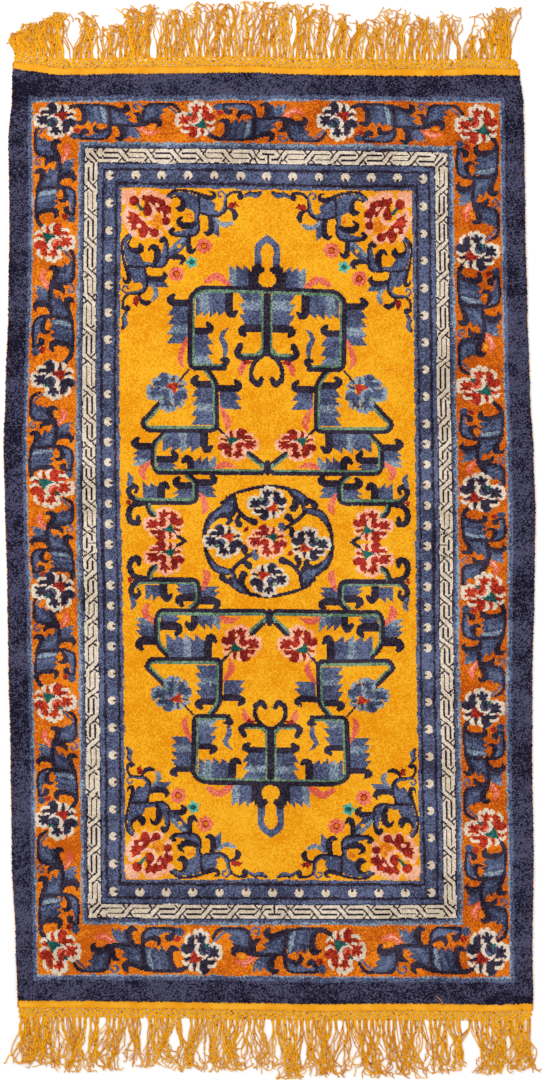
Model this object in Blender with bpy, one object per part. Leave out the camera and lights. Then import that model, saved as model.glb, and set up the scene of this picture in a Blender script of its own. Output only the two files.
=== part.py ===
"""Hand-knotted silk rug lying flat, with an overcast side cord along each long
side and a knotted fringe along each end.

Units are metres with +Z up. The rug lies on z = 0 with its length along Y. The
origin is on the floor, under the middle of the box that holds rug and fringes.
"""

import math

import bmesh
import bpy

MM = 0.001

# Driving dimensions
PILE_THICKNESS = 7.0 * MM
WEB_THICKNESS = 2.0 * MM
WEB_DEPTH = 11.5 * MM
NET_DEPTH = 17.0 * MM
NET_THICKNESS = 2.4 * MM
CORD_RADIUS = 1.3 * MM
GAP = 0.3 * MM
SHOULDER = 2.0 * MM

COLUMNS = 18
ROWS = 30
SHOULDER_STEPS = 2
BUNCHES = 34
BUNCH_SHARE = 0.62
BUNCH_TIP = 0.55
BUNCH_STEPS = 3

# Each row is a station along the length, from the lower end (0) to the upper (1):
# station, left side and right side, in millimetres from the middle line.
SIDES = [
    (0.000, -439.5, 460.0),
    (0.060, -442.5, 458.5),
    (0.150, -449.0, 460.5),
    (0.270, -451.5, 458.0),
    (0.360, -455.0, 458.5),
    (0.440, -457.0, 461.5),
    (0.530, -461.0, 463.7),
    (0.590, -463.7, 460.5),
    (0.660, -460.0, 454.0),
    (0.750, -455.0, 449.5),
    (0.840, -453.5, 446.0),
    (0.925, -455.0, 444.5),
    (0.970, -449.0, 442.5),
    (1.000, -448.0, 436.5),
]

# Each row is a station across the width, from the left (0) to the right (1):
# station, lower end and upper end of the pile, in millimetres from the middle.
ENDS = [
    (0.00, -799.0, 821.0),
    (0.04, -799.5, 817.5),
    (0.10, -801.0, 811.5),
    (0.25, -801.5, 812.0),
    (0.45, -803.0, 811.0),
    (0.60, -803.5, 809.0),
    (0.74, -803.0, 805.5),
    (0.83, -802.5, 804.5),
    (0.92, -804.0, 807.5),
    (1.00, -802.5, 808.0),
]

# Each row is a station across the width: station, how far the strands reach past
# the knotted heading, and how far their tips lean to the right, in millimetres.
UPPER_STRANDS = [
    (0.00, 26.0, -12.0),
    (0.04, 50.0, -6.0),
    (0.08, 74.0, 4.0),
    (0.15, 80.0, 6.0),
    (0.19, 56.0, 2.0),
    (0.23, 87.0, 0.0),
    (0.45, 90.0, 2.0),
    (0.60, 96.0, 0.0),
    (0.68, 72.0, -2.0),
    (0.73, 88.0, -2.0),
    (0.79, 76.0, 0.0),
    (0.86, 78.0, 0.0),
    (0.89, 32.0, 0.0),
    (0.93, 32.0, 0.0),
    (0.96, 78.0, 0.0),
    (1.00, 86.0, -8.0),
]
LOWER_STRANDS = [
    (0.00, 76.0, -8.0),
    (0.04, 84.0, -6.0),
    (0.12, 92.0, -2.0),
    (0.30, 86.0, 0.0),
    (0.42, 88.0, 2.0),
    (0.52, 102.0, 4.0),
    (0.60, 98.0, 2.0),
    (0.75, 99.0, 4.0),
    (0.83, 90.0, 2.0),
    (0.90, 97.0, 4.0),
    (0.95, 84.0, 2.0),
    (1.00, 93.0, 3.0),
]


def read_table(table, station, column):
    """Value of one column at a station, eased between the rows beside it."""
    station = min(max(station, 0.0), 1.0)
    for low, high in zip(table, table[1:]):
        if station <= high[0]:
            share = (station - low[0]) / (high[0] - low[0])
            eased = share * share * (3.0 - 2.0 * share)
            return (low[column] + (high[column] - low[column]) * eased) * MM
    return table[-1][column] * MM


def side_x(side, along):
    return read_table(SIDES, along, 1 if side < 0 else 2)


def end_y(end, across):
    return read_table(ENDS, across, 1 if end < 0 else 2)


def end_edge(end, across):
    """Y of the pile's end, straight between the columns of the foundation."""
    column = min(int(across * COLUMNS), COLUMNS - 1)
    near = end_y(end, column / COLUMNS)
    far = end_y(end, (column + 1) / COLUMNS)
    return near + (far - near) * (across * COLUMNS - column)


def body_x(across, along):
    """X of a point of the foundation, which stops short of the side cords."""
    tuck = 2.0 * CORD_RADIUS + GAP
    left = side_x(-1, along) + tuck
    right = side_x(1, along) - tuck
    return left + (right - left) * across


def row_place(row, across):
    """Station and Y of one row of the foundation, whose end rows edge the webs."""
    along = min(max((row - 1) / (ROWS - 2), 0.0), 1.0)
    low = end_y(-1, across)
    high = end_y(1, across)
    y = low + (high - low) * along
    if row == 0:
        y -= WEB_DEPTH
    if row == ROWS:
        y += WEB_DEPTH
    return along, y


def dyed_silk(name, colour, roughness):
    material = bpy.data.materials.new(name)
    material.use_nodes = True
    surface = material.node_tree.nodes["Principled BSDF"]
    surface.inputs["Base Color"].default_value = (*colour, 1.0)
    surface.inputs["Roughness"].default_value = roughness
    surface.inputs["Metallic"].default_value = 0.0
    return material


def link_object(name, data, material):
    data.materials.append(material)
    thing = bpy.data.objects.new(name, data)
    bpy.context.scene.collection.objects.link(thing)
    return thing


def rise(mesh, faces, height):
    """Extrudes a region of faces straight up and returns its new top faces."""
    grown = bmesh.ops.extrude_face_region(mesh, geom=faces)["geom"]
    points = [part for part in grown if isinstance(part, bmesh.types.BMVert)]
    bmesh.ops.translate(mesh, verts=points, vec=(0.0, 0.0, height))
    return [part for part in grown if isinstance(part, bmesh.types.BMFace)]


def raise_sheet_top(mesh, faces, height):
    """Raises faces of a closed sheet, whose old places then lie inside it."""
    top = rise(mesh, faces, height)
    bmesh.ops.delete(mesh, geom=faces, context="FACES_ONLY")
    return top


def build_rug(web_silk, pile_silk):
    """Foundation with its flat-woven end webs, and the thicker pile on it."""
    mesh = bmesh.new()
    bmesh.ops.create_grid(mesh, x_segments=COLUMNS, y_segments=ROWS, size=0.5)
    for point in mesh.verts:
        across = point.co.x + 0.5
        along, point.co.y = row_place(round((point.co.y + 0.5) * ROWS), across)
        point.co.x = body_x(across, along)
    for index, face in enumerate(mesh.faces):
        row = index // COLUMNS
        face.material_index = 1 if 0 < row < ROWS - 1 else 0
    web_top = rise(mesh, mesh.faces[:], WEB_THICKNESS)
    pile = [face for face in web_top if face.material_index == 1]
    pile_top = raise_sheet_top(mesh, pile, PILE_THICKNESS - WEB_THICKNESS)
    top_set = set(pile_top)
    rim = [edge for edge in mesh.edges if len(top_set.intersection(edge.link_faces)) == 1]
    bmesh.ops.bevel(
        mesh,
        geom=rim,
        offset=SHOULDER,
        segments=SHOULDER_STEPS,
        profile=0.5,
        affect="EDGES",
        material=-1,
    )
    bmesh.ops.recalc_face_normals(mesh, faces=mesh.faces[:])
    data = bpy.data.meshes.new("rug")
    mesh.to_mesh(data)
    mesh.free()
    data.materials.append(web_silk)
    return link_object("rug", data, pile_silk)


def build_side_cord(name, side, material):
    """Cord of overcast silk that binds one long side, from web to web."""
    curve = bpy.data.curves.new(name, "CURVE")
    curve.dimensions = "3D"
    curve.bevel_depth = CORD_RADIUS
    curve.bevel_resolution = 2
    curve.use_fill_caps = True
    line = curve.splines.new("POLY")
    line.points.add(ROWS)
    for row, point in enumerate(line.points):
        along, y = row_place(row, 0.0 if side < 0 else 1.0)
        x = side_x(side, along) - side * CORD_RADIUS
        point.co = (x, y, CORD_RADIUS, 1.0)
    return link_object(name, curve, material)


def build_fringe(name, end, strands, material):
    """Knotted heading beside the end web, with its bunches of loose strands."""
    along = 0.0 if end < 0 else 1.0
    pitch = 1.0 / (BUNCHES - 1 + BUNCH_SHARE)
    lines = 2 * BUNCHES
    mesh = bmesh.new()
    bmesh.ops.create_grid(mesh, x_segments=lines - 1, y_segments=1, size=0.5)
    mesh.verts.ensure_lookup_table()
    for index, point in enumerate(mesh.verts):
        row, line = divmod(index, lines)
        bunch, far_side = divmod(line, 2)
        across = (bunch + BUNCH_SHARE * far_side) * pitch
        depth = WEB_DEPTH + GAP + NET_DEPTH * row
        point.co.x = body_x(across, along)
        point.co.y = end_edge(end, across) + end * depth
    outer = mesh.verts[lines:]
    roots = [mesh.edges.get(outer[2 * bunch : 2 * bunch + 2]) for bunch in range(BUNCHES)]
    for bunch, edge in enumerate(roots):
        across = (bunch + BUNCH_SHARE / 2.0) * pitch
        reach = read_table(strands, across, 1)
        lean = read_table(strands, across, 2)
        root_x = sum(point.co.x for point in edge.verts) / 2.0
        root_width = abs(edge.verts[0].co.x - edge.verts[1].co.x)
        for step in range(1, BUNCH_STEPS + 1):
            grown = bmesh.ops.extrude_edge_only(mesh, edges=[edge])["geom"]
            points = [part for part in grown if isinstance(part, bmesh.types.BMVert)]
            points.sort(key=lambda point: point.co.x)
            share_out = step / BUNCH_STEPS
            width = root_width * (1.0 + (BUNCH_TIP - 1.0) * share_out)
            middle = root_x + lean * share_out * share_out
            for point, half in zip(points, (-0.5, 0.5)):
                point.co.x = middle + half * width
                point.co.y += end * reach / BUNCH_STEPS
            edge = mesh.edges.get(points)
    rise(mesh, mesh.faces[:], NET_THICKNESS)
    bmesh.ops.recalc_face_normals(mesh, faces=mesh.faces[:])
    data = bpy.data.meshes.new(name)
    mesh.to_mesh(data)
    mesh.free()
    return link_object(name, data, material)


for old in list(bpy.data.objects):
    bpy.data.objects.remove(old)

gold_silk = dyed_silk("gold silk", (0.84, 0.41, 0.05), 0.5)
navy_silk = dyed_silk("navy pile silk", (0.03, 0.035, 0.07), 0.7)

build_rug(gold_silk, navy_silk)
build_side_cord("side_cord_left", -1, gold_silk)
build_side_cord("side_cord_right", 1, gold_silk)
build_fringe("fringe_upper", 1, UPPER_STRANDS, gold_silk)
build_fringe("fringe_lower", -1, LOWER_STRANDS, gold_silk)

for thing in bpy.context.scene.collection.objects:
    if thing.type == "MESH":
        thing.data.shade_smooth()
        thing.data.set_sharp_from_angle(angle=math.radians(35.0))
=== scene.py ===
"""Looks of a hand-knotted silk rug that lies flat: golden foundation, knotted pile
with its drawing, overcast side cords and a knotted fringe at each end.

Units are metres, with +Z up and the rug's length along Y.
"""

import math

import bmesh
import bpy
import numpy as np
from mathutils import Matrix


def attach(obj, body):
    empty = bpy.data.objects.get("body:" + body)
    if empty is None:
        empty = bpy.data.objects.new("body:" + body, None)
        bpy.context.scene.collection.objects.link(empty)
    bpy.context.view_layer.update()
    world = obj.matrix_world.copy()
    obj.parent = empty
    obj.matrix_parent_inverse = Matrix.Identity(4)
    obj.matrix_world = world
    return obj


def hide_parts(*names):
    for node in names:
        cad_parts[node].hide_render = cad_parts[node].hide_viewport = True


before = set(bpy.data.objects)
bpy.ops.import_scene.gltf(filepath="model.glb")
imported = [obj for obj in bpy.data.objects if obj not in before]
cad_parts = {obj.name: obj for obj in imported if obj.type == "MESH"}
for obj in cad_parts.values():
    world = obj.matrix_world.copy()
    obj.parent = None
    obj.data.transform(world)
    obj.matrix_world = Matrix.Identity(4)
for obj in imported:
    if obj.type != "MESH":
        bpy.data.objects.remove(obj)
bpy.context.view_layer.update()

# Foundation
# Silk warps and wefts, woven flat, carry the knots from side to side. Past the
# last row of knots the weaver leaves a narrow golden web at each end.
MM = 0.001
WEB_THICKNESS = 2.0 * MM
WEB_DEPTH = 11.5 * MM
CORD_RADIUS = 1.3 * MM
GAP = 0.3 * MM
FOUNDATION_COLUMNS = 64
FOUNDATION_ROWS = 40
WEB_ROWS = 5
WEAVE_SCALE = 175.0
WEAVE_ANGLE = math.radians(40.0)

# From the lower end (0) to the upper (1): share of the length, then the left and
# the right side, in millimetres from the middle.
SIDES = [
    (0.000, -439.5, 460.0),
    (0.060, -442.5, 458.5),
    (0.150, -449.0, 460.5),
    (0.270, -451.5, 458.0),
    (0.360, -455.0, 458.5),
    (0.440, -457.0, 461.5),
    (0.530, -461.0, 463.7),
    (0.590, -463.7, 460.5),
    (0.660, -460.0, 454.0),
    (0.750, -455.0, 449.5),
    (0.840, -453.5, 446.0),
    (0.925, -455.0, 444.5),
    (0.970, -449.0, 442.5),
    (1.000, -448.0, 436.5),
]

# From the left (0) to the right (1): share of the width, then the lower and the
# upper end of the pile, in millimetres from the middle.
ENDS = [
    (0.00, -801.0, 823.0),
    (0.04, -801.0, 819.0),
    (0.10, -801.0, 812.0),
    (0.25, -802.5, 814.0),
    (0.45, -805.0, 816.0),
    (0.60, -807.0, 812.2),
    (0.74, -805.8, 810.5),
    (0.83, -806.6, 810.0),
    (0.92, -808.0, 812.5),
    (1.00, -805.5, 810.5),
]


def eased(share):
    """A share from 0 to 1 that sets off and comes to rest gently."""
    return share * share * (3.0 - 2.0 * share)


def read_table(table, station, column):
    """One column of a table at many stations at once, eased from row to row."""
    table = np.array(table)
    station = np.clip(station, table[0, 0], table[-1, 0])
    row = np.clip(np.searchsorted(table[:, 0], station) - 1, 0, len(table) - 2)
    share = (station - table[row, 0]) / (table[row + 1, 0] - table[row, 0])
    return table[row, column] + (table[row + 1, column] - table[row, column]) * eased(share)


def side_x(side, along):
    return read_table(SIDES, along, 1 if side < 0 else 2) * MM


def end_y(end, across):
    return read_table(ENDS, across, 1 if end < 0 else 2) * MM


def body_x(across, along):
    """X of a point of the foundation, which stops short of the side cords."""
    tuck = 2.0 * CORD_RADIUS + GAP
    left = side_x(-1, along) + tuck
    right = side_x(1, along) - tuck
    return left + (right - left) * across


def add_node(tree, kind, inputs=(), **settings):
    """Adds a shader node. Its inputs are numbers, or the sockets that feed them."""
    made = tree.nodes.new("ShaderNode" + kind)
    for name, value in settings.items():
        setattr(made, name, value)
    for socket, value in inputs:
        if isinstance(value, bpy.types.NodeSocket):
            tree.links.new(value, made.inputs[socket])
        else:
            made.inputs[socket].default_value = value
    return made


def linear(red, green, blue):
    """A colour as a screen shows it, out of 255, made linear for a shader."""
    shares = (red / 255.0, green / 255.0, blue / 255.0)
    return (*((share + 0.055) ** 2.4 / 1.055**2.4 for share in shares), 1.0)


def mix_colours(tree, share, first, second, blend_type="MIX"):
    inputs = [(0, share), (6, first), (7, second)]
    return add_node(tree, "Mix", inputs, data_type="RGBA", blend_type=blend_type).outputs[2]


def noise(tree, place, scale, detail, stretch=(1.0, 1.0, 1.0)):
    """Noise from 0 to 1 over the piece's own coordinates, scale in cycles a metre."""
    placed = add_node(tree, "Mapping", [("Vector", place), ("Scale", stretch)])
    inputs = [("Vector", placed.outputs[0]), ("Scale", scale), ("Detail", detail)]
    return add_node(tree, "TexNoise", inputs).outputs[0]


def to_range(tree, value, low, high, to_low, to_high):
    inputs = [(0, value), (1, low), (2, high), (3, to_low), (4, to_high)]
    return add_node(tree, "MapRange", inputs, clamp=True).outputs[0]


def new_silk(name, roughness, sheen):
    """A material whose surface takes the soft shine of silk, with its object place."""
    material = bpy.data.materials.new(name)
    material.use_nodes = True
    tree = material.node_tree
    surface = tree.nodes["Principled BSDF"]
    surface.inputs["Roughness"].default_value = roughness
    surface.inputs["Sheen Weight"].default_value = sheen
    surface.inputs["Sheen Roughness"].default_value = 0.4
    surface.inputs["Specular IOR Level"].default_value = 0.06
    place = add_node(tree, "TexCoord").outputs["Object"]
    return material, tree, surface, place


def add_bump(tree, surface, height, strength, distance):
    inputs = [("Height", height), ("Strength", strength), ("Distance", distance)]
    bump = add_node(tree, "Bump", inputs)
    tree.links.new(bump.outputs[0], surface.inputs["Normal"])


def woven_gold():
    """Golden plain weave, a warp or a weft each 1.8 mm, a little lighter in places, with painted
    shade in the hollows between its threads.
    """
    material, tree, surface, place = new_silk("woven gold silk", 0.42, 0.25)
    patches = to_range(tree, noise(tree, place, 35.0, 2.0), 0.3, 0.7, 0.0, 1.0)
    colour = mix_colours(tree, patches, linear(240, 153, 10), linear(252, 182, 46))
    inputs = [("Vector", place), ("Scale", WEAVE_SCALE), ("Distortion", 0.6), ("Detail", 1.0)]
    wefts = add_node(tree, "TexWave", inputs, bands_direction="Y").outputs["Fac"]
    warps = add_node(tree, "TexWave", inputs, bands_direction="X").outputs["Fac"]
    weave = add_node(tree, "Math", [(0, wefts), (1, warps)], operation="MULTIPLY").outputs[0]
    # Painted shade: darker where the wefts and warps dip between each other
    shade = to_range(tree, weave, 0.0, 0.6, 0.84, 1.0)
    shaded = mix_colours(tree, 1.0, colour, shade, "MULTIPLY")
    tree.links.new(shaded, surface.inputs["Base Color"])
    add_bump(tree, surface, weave, 0.35, 0.4 * MM)
    return material


def new_piece(name, mesh, material, smooth_angle=None):
    """Makes an object of a finished bmesh and lets it ride on the rug's only body."""
    data = bpy.data.meshes.new(name)
    mesh.to_mesh(data)
    mesh.free()
    return add_piece(name, data, material, smooth_angle)


def add_piece(name, data, material, smooth_angle=None):
    data.materials.clear()
    data.materials.append(material)
    data.shade_smooth()
    if smooth_angle:
        data.set_sharp_from_angle(angle=smooth_angle)
    piece = bpy.data.objects.new(name, data)
    bpy.context.scene.collection.objects.link(piece)
    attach(piece, "root")
    return piece


mesh = bmesh.new()
bmesh.ops.create_grid(mesh, x_segments=FOUNDATION_COLUMNS, y_segments=FOUNDATION_ROWS, size=0.5)
inner_rows = FOUNDATION_ROWS - 2 * WEB_ROWS
across = np.array([point.co.x for point in mesh.verts]) + 0.5
row = np.round((np.array([point.co.y for point in mesh.verts]) + 0.5) * FOUNDATION_ROWS)
along = np.clip((row - WEB_ROWS) / inner_rows, 0.0, 1.0)
past_end = np.clip(row - FOUNDATION_ROWS + WEB_ROWS, 0, None) - np.clip(WEB_ROWS - row, 0, None)
y = end_y(-1, across) + (end_y(1, across) - end_y(-1, across)) * along
y += past_end / WEB_ROWS * WEB_DEPTH
for point, place in zip(mesh.verts, np.stack([body_x(across, along), y], axis=1)):
    point.co.xy = place
grown = bmesh.ops.extrude_face_region(mesh, geom=mesh.faces[:])["geom"]
upper = [part for part in grown if isinstance(part, bmesh.types.BMVert)]
bmesh.ops.translate(mesh, verts=upper, vec=(0.0, 0.0, WEB_THICKNESS))
bmesh.ops.recalc_face_normals(mesh, faces=mesh.faces[:])
foundation = new_piece("foundation_weave", mesh, woven_gold(), WEAVE_ANGLE)
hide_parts("rug")

# Pile
# Silk yarns knotted one by one round pairs of warps, a row at a time, and sheared
# 5 mm above the foundation. The weaver follows a drawing on squares, one for each
# knot, and the knots take the uneven lines that the rows have on the real rug.
KNOT = 1.74 * MM

# How each dyed silk looks, red, green and blue out of 255: a deep tone, its darker dye
# with the painted shade that falls down between the tufts, and a bright tone, its lighter
# dye with the painted light that falls on their tips.
SILKS = {
    "navy": ((18, 15, 32), (77, 75, 100)),
    "ink": ((27, 19, 32), (60, 52, 68)),
    "slate": ((41, 43, 63), (83, 92, 120)),
    "indigo": ((52, 54, 76), (96, 105, 136)),
    "blue": ((58, 62, 88), (102, 113, 143)),
    "pale blue": ((88, 100, 116), (150, 164, 177)),
    "cream": ((194, 176, 154), (232, 216, 194)),
    "gold": ((225, 139, 2), (243, 175, 34)),
    "amber": ((186, 84, 6), (236, 133, 22)),
    "rust": ((164, 66, 4), (216, 108, 16)),
    "pink": ((226, 150, 112), (246, 196, 170)),
    "coral": ((200, 78, 56), (238, 130, 102)),
    "red": ((122, 24, 12), (202, 64, 38)),
    "dark red": ((104, 20, 17), (178, 50, 38)),
    "leaf green": ((68, 97, 77), (129, 158, 127)),
    "teal": ((57, 136, 124), (106, 189, 170)),
    "bottle green": ((19, 62, 59), (41, 109, 103)),
    "brown": ((56, 34, 31), (98, 63, 56)),
    "dark orange": ((205, 100, 14), (241, 158, 43)),
}
SILK_NUMBER = {name: number + 1 for number, name in enumerate(SILKS)}
CURVE_STEPS = 6


def rounded(points):
    """Points along a smooth curve through some (x, y, width) points."""
    points = np.array(points, float)
    padded = np.vstack([2 * points[0] - points[1], points, 2 * points[-1] - points[-2]])
    path = [points[0]]
    for before, start, end, after in zip(padded, padded[1:], padded[2:], padded[3:]):
        bend = 2 * before - 5 * start + 4 * end - after
        twist = 3 * start - before - 3 * end + after
        for share in np.arange(1, CURVE_STEPS + 1) / CURVE_STEPS:
            place = 2 * start + (end - before) * share + bend * share**2 + twist * share**3
            path.append(0.5 * place)
    return np.array(path)


def overlay(under, over):
    """Lays the drawn squares of one array over another of the same shape."""
    return np.where(over > 0, over, under)


class Chart:
    """One figure of the weaver's drawing, on squares finer than the knots."""

    FINE = 3
    GREEN_LINE = 2.3
    BAR_BEND = 7.0
    TOOTH = 6.0

    def __init__(self, low, high):
        self.low = np.array(low, float)
        columns, rows = (np.array(high, float) - self.low) * self.FINE
        self.silk = np.zeros((round(rows), round(columns)), np.uint8)

    def window(self, low, high):
        """The squares of a box of the figure, and their places."""
        first = np.maximum(np.floor((np.array(low) - self.low) * self.FINE), 0).astype(int)
        last = np.ceil((np.array(high) - self.low) * self.FINE).astype(int)
        squares = self.silk[first[1] : max(last[1], 0), first[0] : max(last[0], 0)]
        rows, columns = squares.shape
        x = self.low[0] + (first[0] + np.arange(columns) + 0.5) / self.FINE
        y = self.low[1] + (first[1] + np.arange(rows) + 0.5) / self.FINE
        return squares, x[None, :], y[:, None]

    def silk_at(self, x, y):
        """The silk at some places of the figure, 0 where none is drawn."""
        column = np.floor((x - self.low[0]) * self.FINE).astype(int)
        row = np.floor((y - self.low[1]) * self.FINE).astype(int)
        rows, columns = self.silk.shape
        inside = (column >= 0) & (column < columns) & (row >= 0) & (row < rows)
        drawn = np.zeros(inside.shape, np.uint8)
        drawn[inside] = self.silk[row[inside], column[inside]]
        return drawn

    def disc(self, silk, x, y, radius):
        squares, at_x, at_y = self.window((x - radius, y - radius), (x + radius, y + radius))
        inside = ((at_x - x) / radius) ** 2 + ((at_y - y) / radius) ** 2 <= 1.0
        squares[inside] = SILK_NUMBER[silk]

    def stroke(self, silk, points, smooth=True):
        """A brush stroke through (x, y, width) points."""
        path = rounded(points) if smooth and len(points) > 2 else np.array(points, float)
        for start, end in zip(path, path[1:]):
            reach = max(start[2], end[2]) / 2.0
            low = np.minimum(start, end)[:2] - reach
            high = np.maximum(start, end)[:2] + reach
            squares, x, y = self.window(low, high)
            run = end[:2] - start[:2]
            share = ((x - start[0]) * run[0] + (y - start[1]) * run[1]) / max(run @ run, 1e-9)
            share = np.clip(share, 0.0, 1.0)
            away = np.hypot(x - start[0] - run[0] * share, y - start[1] - run[1] * share)
            squares[away <= (start[2] + (end[2] - start[2]) * share) / 2.0] = SILK_NUMBER[silk]

    def patch(self, silk, outline):
        """Fills a closed outline of (x, y) corners."""
        outline = np.array(outline, float)
        squares, x, y = self.window(outline.min(0), outline.max(0))
        inside = np.zeros(squares.shape, bool)
        for start, end in zip(outline, np.roll(outline, -1, axis=0)):
            crosses = (start[1] > y) != (end[1] > y)
            slope = (end[0] - start[0]) / (end[1] - start[1] or 1.0)
            inside ^= crosses & (x < start[0] + (y - start[1]) * slope)
        squares[inside] = SILK_NUMBER[silk]

    def bar(self, points, width=4.6, side=1):
        """A dark bar with a thin green line along one side of it, round at its turns."""
        path = [np.array(points[0], float)]
        for before, turn, after in zip(points, points[1:], points[2:]):
            before, turn, after = (np.array(point, float) for point in (before, turn, after))
            lengths = np.hypot(*(before - turn)), np.hypot(*(after - turn))
            cut = min(self.BAR_BEND, 0.5 * min(lengths))
            first = turn + (before - turn) * cut / lengths[0]
            last = turn + (after - turn) * cut / lengths[1]
            for share in np.linspace(0.0, 1.0, 5):
                bend = first * (1 - share) ** 2 + 2 * turn * share * (1 - share)
                path.append(bend + last * share**2)
        path.append(np.array(points[-1], float))
        path = np.array(path)
        runs = np.gradient(path, axis=0)
        runs /= np.hypot(runs[:, 0], runs[:, 1])[:, None]
        normals = np.stack([-runs[:, 1], runs[:, 0]], axis=1)
        beside = path + normals * side * (width + self.GREEN_LINE) / 2.0
        self.stroke("ink", [(x, y, width) for x, y in path], smooth=False)
        self.stroke("leaf green", [(x, y, self.GREEN_LINE) for x, y in beside], smooth=False)

    def leaf(self, root, tip, depth, teeth, pale, claw=True, band=7.5):
        """A comb leaf: straight from root to tip, toothed opposite, its first band
        dark and ending in a claw. depth is negative on the right of root to tip."""
        root, tip = np.array(root, float), np.array(tip, float)
        length = np.hypot(*(tip - root))
        along = (tip - root) / length
        out = np.array([-along[1], along[0]]) * np.sign(depth)
        depth = abs(depth)
        corners = np.array([root, tip, root + out * depth, tip + out * depth])
        squares, x, y = self.window(corners.min(0), corners.max(0))
        a = (x - root[0]) * along[0] + (y - root[1]) * along[1]
        b = (x - root[0]) * out[0] + (y - root[1]) * out[1]
        start = band if claw else 0.0
        share = np.clip((a - start) / (length - start), 0.0, 0.999) * teeth % 1.0
        reach = depth - self.TOOTH * (1.0 - share)
        inside = (a >= 0.0) & (a <= length) & (b >= 0.0) & (b <= reach)
        squares[inside] = SILK_NUMBER["indigo"]
        lighter_from = start + 0.45 * (length - start)
        squares[inside & (a > lighter_from)] = SILK_NUMBER["blue"]
        if pale:
            squares[inside & (a >= pale[0]) & (a <= pale[1])] = SILK_NUMBER["pale blue"]
        squares[inside & (a < band)] = SILK_NUMBER["ink"]
        if claw:
            # distance along the leaf and out from it, and width
            route = [(band / 2.0, 0.0, band), (band / 2.0, depth - 7.0, band)]
            route += [(0.5, depth - 3.0, band), (-3.5, depth - 6.0, 0.55 * band)]
            self.stroke("ink", [(*(root + along * a + out * b), wide) for a, b, wide in route])


PEONY_HALF = 22


def peony(petal, edge, heart, glow, dot, halo=0.9):
    """Full flower seen from above: clusters of petals with pale rims and a glow
    between, round a crescent with its bud, a heart and the dot where the stem ends."""
    flower = Chart((-PEONY_HALF, -PEONY_HALF), (PEONY_HALF, PEONY_HALF))
    flower.disc(petal, 0, 0, 9)
    # Pale rims: x, y, radius
    for x, y, radius in [
        (-17, 5, 3.2), (-18.2, 0.8, 3), (-17.2, -3.6, 3.2), (-13, -5.2, 3.2), (-9.5, -5, 2.8),
        (-5, -9.4, 2.8), (-4.6, -14, 3.4), (0.4, -17, 3.2), (5.6, -15.6, 3.4),
    ]:
        flower.disc(edge, x, y, radius)
    # Petals: x, y, radius
    petals = [
        (-3, 14.4, 5), (-4, 9.4, 4.8), (-9.6, 9.4, 3.6), (-11.4, 1.4, 3.2), (14, -0.8, 3.6),
        (11.4, -3.8, 4.6), (16.2, -2.8, 3.4), (9.2, -9.6, 2.8), (0, -9.4, 2.8),
    ]
    # Fingers of the petals: from x, y to x, y
    fingers = [
        (-11, 1.6, -16.4, 4), (-11, 1.6, -16.2, -1), (-11, 1, -13.4, -3.8),
        (-10.6, 0, -8.8, -3.4), (-10.6, 2, -8, 4.6), (0, -9.4, -3.6, -12.6),
        (0, -9.4, 0.8, -15.2), (0, -9.4, 4.4, -12.6), (9.2, -9.6, 12.8, -12.2),
        (9.2, -9.6, 8, -13), (6.4, 11.4, 6.2, 16), (12.4, 5.6, 16, 7.2),
    ]
    for silk, more in ((glow, halo), (petal, 0.0)):
        for x, y, radius in petals:
            flower.disc(silk, x, y, radius + more)
        for x, y, tip_x, tip_y in fingers:
            flower.stroke(silk, [(x, y, 3.4 + more), (tip_x, tip_y, 2.2 + more)])
    # Pale rims of the single petals: (x, y, width) points
    for points in [
        [(-14.4, 10.4, 2.6), (-12, 13.4, 3.2), (-7.4, 13, 2.6)],
        [(-11, 6.2, 2.2), (-7, 6.6, 1.6)],
        [(0.8, 18.4, 2.0), (3.8, 15.6, 3.4), (2.6, 11.2, 2.8)],
        [(8.6, 17, 2.2), (10.8, 14.4, 3.4), (9.6, 11, 2.6)],
        [(12.6, 9.4, 2.0), (15, 11.4, 3.0), (18, 8.4, 2.4)],
        [(11.6, 2.6, 1.8), (15, 4.2, 2.8), (19, 1.8, 2.4)],
        [(14.8, -7, 2.4), (15.2, -11, 3.2), (12, -14.6, 3.0)],
        [(5.2, -8.6, 3.8), (5.2, -8.2, 3.8)],
        [(-6.6, 3, 2.0), (-2.4, 5.6, 3.2), (3, 3.6, 4.2), (4.6, -1.6, 4.2), (2.2, -6.6, 2.2)],
    ]:
        flower.stroke(edge, points)
    flower.disc(glow, -2.2, -0.8, 4.0)
    flower.stroke(petal, [(-4, 0.6, 2.6), (-1.6, -2.8, 4.2), (0.4, -5, 2.4)])
    flower.patch(heart, [(-3.2, 6), (3, 8.8), (10.6, 10.4), (10.4, 5.6), (7, -1.8), (4.8, 2.6),
                         (2, 4.6)])
    flower.stroke(dot, [(-6.8, -6, 2.4), (-5, -4.2, 3.2)])
    return flower


def small_flower(lobe, rim, middle, lobes, radius):
    """Round lobes about a rimmed eye, their sizes as shares of the flower's radius."""
    flower = Chart((-9, -9), (9, 9))
    for angle in 2.0 * np.pi * np.arange(lobes) / lobes:
        x, y = radius * 0.7 * np.cos(angle), radius * 0.7 * np.sin(angle)
        flower.disc(lobe, x, y, radius * 0.34)
    for silk, share in ((lobe, 0.74), (rim, 0.46), (middle, 0.28)):
        flower.disc(silk, 0, 0, radius * share)
    return flower


# Field figures, drawn once for all four quarters: x is the distance from the middle
# column and y the distance from the medallion's middle row, in knots.
QUARTER = (147, 352)
quarter = Chart((0, 0), QUARTER)

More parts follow.
